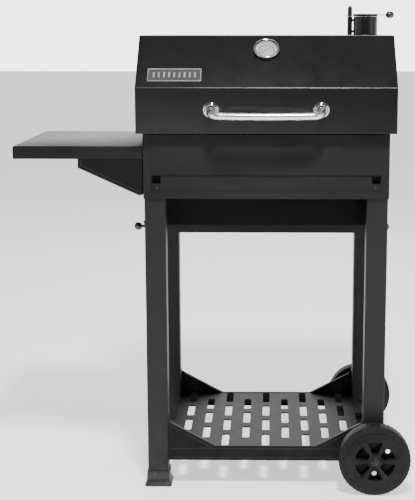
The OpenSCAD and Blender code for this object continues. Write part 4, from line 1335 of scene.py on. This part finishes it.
@dataclass
class Lid(Part):
    """The lid's shell and ends, its hinge leaves, handle and badge."""

    lip: float = 12 * MM
    fold: float = 6 * MM
    handle_d: float = 18 * MM
    handle_bend: float = 24 * MM
    tilt: float = math.radians(15)
    bow: float = 6 * MM
    badge_h: float = 40 * MM
    badge_t: float = 2.2 * MM
    badge_rim: float = 2.4 * MM
    bars: int = 9

    def __post_init__(self) -> None:
        """Reads the lid's section from the frame."""
        box = Box.of("lid_end_left")
        points = [v.co for v in NODES["lid_end_left"].data.vertices]
        self.crease_z = max(p.z for p in points if p.y < box.lo.y + MM)
        self.slope_y = min(p.y for p in points if p.z > box.hi.z - MM)
        self.box = Box.of("lid_shell", "lid_end_left", "lid_end_right")
        run, rise = self.slope_y - box.lo.y, box.hi.z - self.crease_z
        self.slope = math.atan2(rise, run)

    def build(self) -> None:
        """Makes every piece of the lid but the gauge and the stack."""
        self.shell()
        self.copies(
            Body.LID, "lid_paint", self.finishes.lid_paint, 0.6 * MM,
            "lid_end_left", "lid_end_right", "hinge_leaves",
        )
        self.weld_beads()
        self.handle()
        self.rosettes()
        dress("handle_screws", self.finishes.fixings)
        self.badge()

    def on_slope(self, centre: Vector) -> Matrix:
        """A matrix with local X across the lid, Y up the slope and Z outwards, at a point."""
        return Matrix.Translation(centre) @ Matrix.Rotation(self.slope, 4, "X")

    def shell(self) -> None:
        """The folded sheet over the front, slope, top and back, with the flue's hole."""
        shell = Box.of("lid_shell")
        y0, y1, z0, z1 = shell.lo.y, shell.hi.y, shell.lo.z, shell.hi.z
        path = [
            (y0 + self.lip, z0), (y0, z0), (y0, self.crease_z), (self.slope_y, z1), (y1, z1), (y1, z0),
        ]
        made = sheet(
            path, shell.lo.x, shell.hi.x, "X", Vector((0, 0, 1)), "lid_shell_folded",
            self.finishes.lid_paint, self.sheet_t, self.fold,
        )
        tube = Box.of("stack_tube")
        bm = prism(arc((0, 0), tube.size.x / 2, 0, 360 - 7.5, 47), z1 - 20 * MM, z1 + 20 * MM)
        place = Matrix.Translation((tube.centre.x, tube.centre.y, 0))
        cutter = to_object(turned(bm, place), "flue_cutter", self.finishes.lid_paint)
        settle(cut(made, cutter), Body.LID, "lid_paint", "lid_shell")

    def weld_beads(self) -> None:
        """Ground welds where the end plates meet the folded sheet."""
        box = self.box
        inset = 0.9 * MM
        paths = []
        for x in (box.lo.x + inset + 0.6 * MM, box.hi.x - inset - 0.6 * MM):
            paths.append([
                (x, box.lo.y + inset, box.lo.z + inset), (x, box.lo.y + inset, self.crease_z - inset * 0.4),
                (x, self.slope_y + inset * 0.4, box.hi.z - inset), (x, box.hi.y - inset, box.hi.z - inset),
                (x, box.hi.y - inset, box.lo.z + inset),
            ])
        made = self.makers.bar("lid_weld_beads", paths, 0.9 * MM, 2 * MM, self.finishes.lid_paint, 10)
        settle(made, Body.LID, "lid_paint")

    def handle(self) -> None:
        """A polished bar, bent at both ends and a little bowed between."""
        rosettes = Box.of("handle_rosettes")
        bar = Box.of("lid_handle")
        radius = self.handle_d / 2
        middle = rosettes.centre
        post_x = (rosettes.size.x - rosettes.size.z) / 2
        face_y = self.box.lo.y
        reach = (face_y - radius - bar.lo.y) / math.cos(self.tilt)
        down, out = -math.sin(self.tilt), -math.cos(self.tilt)

        def at(x: float, distance: float) -> tuple[float, float, float]:
            """A point beside the middle, so far out along the tilted plane."""
            return (middle.x + x, face_y + distance * out, middle.z + distance * down)

        steps = 12
        span = post_x + 1.5 * MM
        curve = []
        for i in range(steps + 1):
            share = 2 * i / steps - 1
            curve.append(at(share * span, reach - self.bow * share * share))
        path = [at(-post_x, 3.2 * MM)] + curve + [at(post_x, 3.2 * MM)]
        made = self.makers.bar("lid_handle_bar", [path], radius, self.handle_bend, self.finishes.handle, 28)
        settle(made, Body.LID, "bright_steel", "lid_handle")

    def rosettes(self) -> None:
        """Turned rings that cover the handle's feet."""
        parts = []
        for box in islands("handle_rosettes"):
            outer, depth, bore = box.size.x / 2, box.size.y, self.handle_d / 2 + 0.3 * MM
            profile = [
                (bore, 0.0), (outer - 0.6 * MM, 0.0), (outer, 0.7 * MM), (outer, 2.2 * MM),
                (outer - 0.8 * MM, 3.0 * MM), (outer - 2.4 * MM, 3.3 * MM), (outer - 3.4 * MM, 4.2 * MM),
                (bore + 4.2 * MM, depth - 1.3 * MM), (bore + 3.0 * MM, depth - 0.2 * MM),
                (bore + 2.0 * MM, depth), (bore + 0.6 * MM, depth - 0.5 * MM), (bore, depth - 1.6 * MM),
            ]
            place = along(Vector((0, -1, 0)), Vector((box.centre.x, box.hi.y, box.centre.z)))
            parts.append(to_object(turned(lathe(profile, 56), place), "handle_rings", self.finishes.chrome))
        settle(join(*parts), Body.LID, "chrome_trim", "handle_rosettes")

    def badge(self) -> None:
        """A framed plate with a dark field and a row of plain bars."""
        box = Box.of("badge_plate")
        width = box.size.x
        height, thick, rim = self.badge_h, self.badge_t, self.badge_rim
        normal = Vector((0, -math.sin(self.slope), math.cos(self.slope)))
        place = self.on_slope(box.centre - normal * thick / 2)
        inner_w, inner_h = width - 2 * rim, height - 2 * rim
        outer = rounded_rect(width, height, 3 * MM)
        inner = rounded_rect(inner_w, inner_h, 1.6 * MM)
        frame_bm = skin([
            (outer, 0.2 * MM), (outer, thick * 0.75),
            (rounded_rect(width - MM, height - MM, 2.6 * MM), thick),
            (rounded_rect(inner_w + MM, inner_h + MM, 2 * MM), thick),
            (inner, thick * 0.75), (inner, 0.2 * MM),
        ], True)
        frame_piece = to_object(turned(frame_bm, place), "badge_framed", self.finishes.badge)
        field_bm = prism(rounded_rect(inner_w + 0.2 * MM, inner_h + 0.2 * MM, 1.6 * MM), 0.2 * MM, 1.3 * MM)
        field_piece = to_object(turned(field_bm, place), "badge_field", self.finishes.badge_field)
        pitch = (width - 30 * MM) / (self.bars - 1)
        bar_bm = prism(rounded_rect(4.2 * MM, 17 * MM, 1.2 * MM, 3), 1.2 * MM, 1.8 * MM)
        tilted = turned(bar_bm, Matrix.Rotation(self.slope, 4, "X"))
        template = to_object(tilted, "badge_bar", self.finishes.badge)
        first = place @ Vector((-pitch * (self.bars - 1) / 2, 0, 0))
        bars = self.makers.row("badge_bars", template, self.bars, first, (pitch, 0, 0), self.finishes.badge)
        settle(join(frame_piece, field_piece, bars), Body.LID, "badge_steel", "badge_plate")


@dataclass
class Gauge(Part):
    """The temperature gauge on the lid's slope."""

    lid: Lid | None = None
    marks: int = 25
    sweep: float = math.radians(240)
    rest: float = math.radians(120)

    def build(self) -> None:
        """Makes the housing, face, marks, lens and pointer."""
        assert self.lid is not None
        dial = Box.of("gauge_dial")
        normal = Vector((0, -math.sin(self.lid.slope), math.cos(self.lid.slope)))
        self.place = self.lid.on_slope(dial.centre - normal * 3.5 * MM)
        self.radius = Box.of("gauge_housing").size.x / 2
        self.housing()
        self.face()
        self.lens()
        self.pointer()
        dress("gauge_stem", self.finishes.fixings)
        self.copies(Body.LID, "bright_steel", self.finishes.fixings, 0.5 * MM, "gauge_nut")

    def add(self, bm: BMesh, name: str, material: Material) -> Object:
        """Puts a shape drawn on the gauge's own axes in place."""
        return to_object(turned(bm, self.place), name, material)

    def housing(self) -> None:
        """A spun cup with a rolled bezel."""
        r, top, wall = self.radius, 12.5 * MM, 2.5 * MM
        bezel = arc((r - 2.2 * MM, top - 2.2 * MM), 2.2 * MM, 0, 140, 8)
        profile = [(1.2 * MM, 0.0), (r - 2.5 * MM, 0.0), (r - 1.2 * MM, 0.8 * MM), (r - 1.2 * MM, 6.5 * MM)]
        profile += [(r - 0.2 * MM, 7.6 * MM)] + bezel + [
            (r - 2 * wall, 11 * MM), (r - wall, 10.8 * MM), (r - wall, 3 * MM), (1.2 * MM, 3 * MM),
        ]
        made = self.add(lathe(profile, 72), "gauge_cup", self.finishes.chrome)
        settle(made, Body.LID, "chrome_trim", "gauge_housing")

    def face(self) -> None:
        """The printed face with its marks and two scale arcs, a broad and a fine one."""
        r = self.radius - 2.7 * MM
        disc = lathe([(1.2 * MM, 3.05 * MM), (r, 3.05 * MM), (r, 4 * MM), (1.2 * MM, 4 * MM)], 72)
        face = self.add(disc, "gauge_face", self.finishes.dial)
        settle(face, Body.LID, "dial_face", "gauge_dial")
        start = math.pi / 2 + self.sweep / 2
        step = -self.sweep / (self.marks - 1)
        mark = prism(rounded_rect(3.4 * MM, 0.7 * MM, 0.2 * MM, 2), 4 * MM, 4.15 * MM)
        template = to_object(mark, "mark", self.finishes.dial_marks)
        turn = self.place.to_euler()
        ticks = self.makers.ring(
            "gauge_marks", template, self.marks, r - 3.6 * MM, start, step, self.place.translation,
            Vector(turn), self.finishes.dial_marks,
        )
        parts = [ticks]
        begin, end = math.degrees(start), math.degrees(start - self.sweep)
        for inner, outer in ((0.56, 0.70), (0.40, 0.43)):
            outline = arc((0, 0), r * outer, begin, end, 40) + arc((0, 0), r * inner, end, begin, 40)
            parts.append(self.add(prism(outline, 4 * MM, 4.12 * MM), "scale", self.finishes.dial_marks))
        settle(join(*parts), Body.LID, "dial_face")

    def lens(self) -> None:
        """A slightly domed pane."""
        r = self.radius - 2.7 * MM
        crown = dome(r, 9.9 * MM, 1.1 * MM)
        made = self.add(lathe([(0.0, 9 * MM), (r, 9 * MM)] + crown, 72), "gauge_pane", self.finishes.lens)
        settle(made, Body.LID, "lens_glass", "gauge_lens")

    def pointer(self) -> None:
        """A tapered pointer with a counterweight and a domed boss."""
        long, low, high = self.radius - 11 * MM, 5.3 * MM, 5.9 * MM
        outline = [(-7 * MM, -1.5 * MM), (0, -1.7 * MM), (long, -0.35 * MM), (long, 0.35 * MM), (0, 1.7 * MM)]
        outline += arc((-7 * MM, 0), 1.5 * MM, 90, 270, 6)
        blade = turned(prism(outline, low, high), Matrix.Rotation(math.pi / 2 + self.rest, 4, "Z"))
        boss = lathe([
            (0.0, 4.6 * MM), (0.75 * MM, 4.6 * MM), (0.75 * MM, 5.2 * MM), (2.8 * MM, 5.2 * MM),
            (2.8 * MM, 6.1 * MM), (2.0 * MM, 6.5 * MM), (0.0, 6.6 * MM),
        ], 32)
        parts = [
            self.add(blade, "gauge_pointer", self.finishes.pointer),
            self.add(boss, "gauge_boss", self.finishes.dial_marks),
        ]
        settle(join(*parts), Body.NEEDLE, "needle_paint", "gauge_needle")


@dataclass
class Stack(Part):
    """The smoke stack with its swing-away cap."""

    wall: float = 1.5 * MM
    roll: float = 1.6 * MM

    def build(self) -> None:
        """Makes every piece of the stack."""
        self.tube()
        self.copies(Body.LID, "lid_paint", self.finishes.lid_paint, 0.3 * MM, "stack_flange", "pivot_sleeve")
        self.copies(Body.CAP, "lid_paint", self.finishes.lid_paint, 0.6 * MM, "stack_cap")
        self.bolt()
        self.wire()
        self.knob()

    def tube(self) -> None:
        """The flue with a rolled lip and a weld bead where it meets the lid."""
        box = Box.of("stack_tube")
        lid_top = Box.of("lid_shell").hi.z
        outer = box.size.x / 2
        inner = outer - self.wall
        lip = arc((outer - self.wall / 2, box.hi.z - self.wall / 2), self.wall / 2, 0, 180, 6)
        profile = [(inner, box.lo.z), (outer, box.lo.z)] + lip
        tube = lathe(profile, 72)
        place = Matrix.Translation((box.centre.x, box.centre.y, 0))
        pipe = to_object(turned(tube, place), "stack_pipe", self.finishes.lid_paint)
        bead_points = arc((outer, lid_top), self.roll, -20, 110, 6) + [(outer - MM, lid_top + 0.4 * MM)]
        bead_points += [(outer - MM, lid_top - 0.4 * MM)]
        bead = to_object(turned(lathe(bead_points, 72), place), "stack_bead", self.finishes.lid_paint)
        settle(join(pipe, bead), Body.LID, "lid_paint", "stack_tube")

    def bolt(self) -> None:
        """The pivot bolt: a shank in the sleeve under a tall domed head."""
        box = Box.of("cap_bolt")
        plate_top = Box.of("stack_cap").lo.z + 1.6 * MM
        head = box.size.x / 2
        profile = [(0.0, box.lo.z), (2.5 * MM, box.lo.z), (3 * MM, box.lo.z + 0.6 * MM), (3 * MM, plate_top)]
        profile += [(head - 0.5 * MM, plate_top), (head, plate_top + 0.6 * MM)]
        profile += dome(head, box.hi.z - head, head)
        place = Matrix.Translation((box.centre.x, box.centre.y, 0))
        made = to_object(turned(lathe(profile, 40), place), "cap_pivot_bolt", self.finishes.bolts)
        settle(made, Body.CAP, "black_bolts", "cap_bolt")

    def wire(self) -> None:
        """The thin stem between the cap's rim and its knob."""
        box = Box.of("cap_wire")
        radius = box.size.z / 2
        path = [(box.lo.x - MM, box.centre.y, box.centre.z), (box.hi.x, box.centre.y, box.centre.z)]
        made = self.makers.bar("cap_stem", [path], radius * 0.9, 0.0, self.finishes.fixings)
        settle(made, Body.CAP, "bright_steel", "cap_wire")

    def knob(self) -> None:
        """A turned oval knob with a shallow groove round it."""
        box = Box.of("cap_knob")
        radius, length = box.size.z / 2, box.size.x
        half = length / 2
        profile = [(0.0, 0.0)]
        for i in range(1, 24):
            share = i / 24
            swell = math.sqrt(max(0.0, 1 - abs(2 * share - 1) ** 2.6))
            groove = 0.5 * MM if i in (4, 20) else 0.0
            profile.append((radius * swell - groove, length * share))
        profile.append((0.0, length))
        place = along(Vector((1, 0, 0)), Vector((box.centre.x - half, box.centre.y, box.centre.z)))
        made = to_object(turned(lathe(profile, 36), place), "cap_oval_knob", self.finishes.knob)
        settle(made, Body.CAP, "knob_plastic", "cap_knob")


@dataclass
class Wheels(Part):
    """Both wheels with their tyres, and the axle between them."""

    ribs: int = 48
    rib_lean: float = 0.032
    shoulder: float = 7 * MM

    def build(self) -> None:
        """Makes both wheels, the axle and its trim."""
        self.wheel("front", Body.FRONT_WHEEL, -1)
        self.wheel("rear", Body.REAR_WHEEL, 1)
        dress("axle", self.finishes.fixings)
        self.copies(Body.ROOT, "bright_steel", self.finishes.fixings, 0.4 * MM, "axle_spacers")
        self.nuts()

    def wheel(self, end: str, body: Body, side: int) -> None:
        """One wheel.

        Args:
            end: front or rear.
            body: the body that it turns with.
            side: -1 where its outer face looks to the front and 1 where it looks to the rear.
        """
        hub = copied(f"{end}_wheel", self.finishes.wheel, 1.1 * MM, 2)
        rings = self.face_rings(Box.of(f"{end}_wheel"), side)
        settle(join(hub, rings), body, "wheel_plastic", f"{end}_wheel")
        tyre = Box.of(f"{end}_tyre")
        radius, width = tyre.size.z / 2, tyre.size.y
        inner = Box.of(f"{end}_wheel").size.z / 2 + 0.2 * MM
        s = self.shoulder
        profile = [(inner, 0.6 * MM), (inner + 0.8 * MM, 0.0), (radius - s - MM, 0.0)]
        profile += arc((radius - s, s), s - 0.9 * MM, 270, 360, 5)
        profile += arc((radius - s, width - s), s - 0.9 * MM, 0, 90, 5)
        profile += [(radius - s - MM, width), (inner + 0.8 * MM, width), (inner, width - 0.6 * MM)]
        place = along(Vector((0, 1, 0)), Vector((tyre.centre.x, tyre.lo.y, tyre.centre.z)))
        carcass = to_object(turned(lathe(profile, 96), place), f"{end}_tyre_ribbed", self.finishes.tyre)
        turn = Vector(place.to_euler())
        treads = self.makers.ring(
            f"{end}_ribs", self.rib(width), self.ribs, radius - 3.4 * MM, 0.0, 2 * math.pi / self.ribs,
            place.translation, turn, self.finishes.tyre,
        )
        settle(join(carcass, treads), body, "tyre_rubber", f"{end}_tyre")

    def rib(self, width: float) -> Object:
        """One tread rib across the tyre, rounded over both shoulders."""
        section = [(-4.4, 4.0), (0.4, 0.9), (2.7, 4.2), (3.3, 9.5)]
        points = [(r * MM, z * MM) for r, z in section]
        points += [(r, width - z) for r, z in reversed(points)]
        half = 1.7 * MM
        bm = bmesh.new()
        sides = [
            [bm.verts.new((r, sign * half + self.rib_lean * (z - width / 2), z)) for r, z in points]
            for sign in (-1, 1)
        ]
        base = [[bm.verts.new((-5.2 * MM, v.co.y, v.co.z)) for v in (side[0], side[-1])] for side in sides]
        loops = [[base[k][0]] + sides[k] + [base[k][1]] for k in (0, 1)]
        for i in range(len(loops[0])):
            j = (i + 1) % len(loops[0])
            bm.faces.new((loops[0][i], loops[0][j], loops[1][j], loops[1][i]))
        bm.faces.new(loops[0][::-1])
        bm.faces.new(loops[1])
        bmesh.ops.recalc_face_normals(bm, faces=bm.faces)
        made = to_object(bm, "rib_template", self.finishes.tyre)
        return bevelled(made, 0.45 * MM, 1)

    def face_rings(self, box: Box, side: int) -> Object:
        """Raised rings on the wheel's outer face, round its hub and its rim."""
        face = box.lo.y if side < 0 else box.hi.y
        parts = []
        rim = box.size.z / 2
        for radius, thick in ((11.5 * MM, 1.3 * MM), (rim - 6 * MM, 1.2 * MM), (rim - 17 * MM, 0.8 * MM)):
            profile = arc((radius, 0.0), thick, 0, 360, 10)[:-1]
            place = along(Vector((0, side, 0)), Vector((box.centre.x, face - side * 0.9 * MM, box.centre.z)))
            parts.append(to_object(turned(lathe(profile, 72), place), "wheel_rings", self.finishes.wheel))
        return join(*parts)

    def nuts(self) -> None:
        """Domed push nuts on the axle's ends."""
        parts = []
        middle = Box.of("axle").centre.y
        for box in islands("axle_nuts"):
            outward = -1 if box.centre.y < middle else 1
            face = box.hi.y if outward < 0 else box.lo.y
            profile = [(5.1 * MM, 0.0), (10.6 * MM, 0.0), (11 * MM, 0.6 * MM), (10.6 * MM, 1.5 * MM)]
            profile += [(8.2 * MM, 1.7 * MM)] + dome(7.9 * MM, 3.4 * MM, 3.6 * MM, 6)
            profile += [(0.0, 5 * MM), (5.1 * MM, 5 * MM)]
            place = along(Vector((0, outward, 0)), Vector((box.centre.x, face, box.centre.z)))
            parts.append(to_object(turned(lathe(profile, 40), place), "axle_caps", self.finishes.bolts))
        settle(join(*parts), Body.ROOT, "black_bolts", "axle_nuts")


# ---------------------------------------------------------------- stage


@dataclass
class Studio:
    """The floor, the lights and the camera."""

    origin_x: float
    origin_y: float
    eye: tuple[float, float, float] = (0.0120, -2.9227, 1.1105)
    pitch: float = math.radians(10.06)
    yaw: float = math.radians(0.99)
    lens: float = 89.96
    shift: float = -0.0844
    overhead: float = 0.12
    in_front: float = 0.28
    behind: float = 4.0

    def build(self) -> None:
        """Makes the stage."""
        self.floor()
        self.sky()
        self.light("key", (0.3, -2.0, 3.6), 0.5, 210.0)
        self.light("right", (2.8, -1.6, 1.5), 1.6, 22.0)
        self.light("left", (-2.8, -1.8, 1.6), 1.6, 14.0)
        self.light("rear", (0.2, 3.2, 2.8), 2.6, 60.0)
        self.camera()

    def floor(self) -> None:
        """A wide pale floor."""
        bm = bmesh.new()
        bmesh.ops.create_grid(bm, x_segments=1, y_segments=1, size=30.0)
        s = Shader("stage_floor")
        tone = s.mix(s.noise(0.6, 2), grey(0.93), grey(0.96))
        material = s.finish({
            "Base Color": tone, "Roughness": 0.7, "Emission Color": grey(1.0), "Emission Strength": 0.8,
        })
        to_object(bm, "stage_floor", material)

    def sky(self) -> None:
        """A plain room: bright towards the horizon and softer overhead."""
        world = bpy.data.worlds.new("studio")
        world.use_nodes = True
        tree = world.node_tree
        tree.nodes.clear()
        place = tree.nodes.new("ShaderNodeTexCoord")
        split = tree.nodes.new("ShaderNodeSeparateXYZ")
        both = tree.nodes.new("ShaderNodeMath")
        sky = tree.nodes.new("ShaderNodeBackground")
        end = tree.nodes.new("ShaderNodeOutputWorld")
        both.operation = "MULTIPLY"
        tree.links.new(place.outputs["Generated"], split.inputs[0])
        for i, (axis, low, high, first, last) in enumerate((
            ("Z", 0.04, 0.55, 1.0, self.overhead), ("Y", -0.6, 0.9, self.in_front, self.behind),
        )):
            ramp = tree.nodes.new("ShaderNodeMapRange")
            ramp.interpolation_type = "SMOOTHSTEP"
            for label, value in (("From Min", low), ("From Max", high), ("To Min", first), ("To Max", last)):
                ramp.inputs[label].default_value = value
            tree.links.new(split.outputs[axis], ramp.inputs["Value"])
            tree.links.new(ramp.outputs[0], both.inputs[i])
        tree.links.new(both.outputs[0], sky.inputs["Strength"])
        sky.inputs["Color"].default_value = (1.0, 1.0, 1.0, 1.0)
        tree.links.new(sky.outputs[0], end.inputs["Surface"])
        bpy.context.scene.world = world

    def light(self, name: str, place: tuple[float, float, float], size: float, power: float) -> None:
        """A square soft light that looks at the cart's middle."""
        data = bpy.data.lights.new(name, "AREA")
        data.size = size
        data.energy = power
        lamp = bpy.data.objects.new(name, data)
        lamp.location = place
        aim = Vector((0.0, 0.0, 0.6)) - Vector(place)
        lamp.rotation_euler = aim.to_track_quat("-Z", "Y").to_euler()
        bpy.context.scene.collection.objects.link(lamp)

    def camera(self) -> None:
        """The camera, a little above the cart and straight in front of it."""
        data = bpy.data.cameras.new("camera")
        data.lens = self.lens
        data.sensor_width = 36.0
        data.shift_x = self.shift
        eye = bpy.data.objects.new("camera", data)
        eye.location = (self.eye[0] + self.origin_x, self.eye[1] + self.origin_y, self.eye[2])
        eye.rotation_euler = (math.pi / 2 - self.pitch, 0.0, self.yaw)
        bpy.context.scene.collection.objects.link(eye)
        bpy.context.scene.camera = eye


# ---------------------------------------------------------------- main


def main() -> None:
    """Builds the cart over the frame."""
    logging.basicConfig(level=logging.INFO, format="%(name)s: %(message)s")
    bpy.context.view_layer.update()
    panel = Box.of("front_panel")
    dial = Box.of("gauge_dial")
    finishes = Finishes(dial.centre, dial.size.x / 2)
    makers = Makers()
    lid = Lid(finishes, makers)
    builders: list[Callable[[], None]] = [
        Undercarriage(finishes, makers).build,
        CookingBox(finishes, makers).build,
        SideShelf(finishes, makers).build,
        AshPan(finishes, makers).build,
        lid.build,
        Gauge(finishes, makers, lid=lid).build,
        Stack(finishes, makers).build,
        Wheels(finishes, makers).build,
        Studio(panel.centre.x, panel.lo.y).build,
    ]
    for build in builders:
        build()


if __name__ == "__main__":
    main()
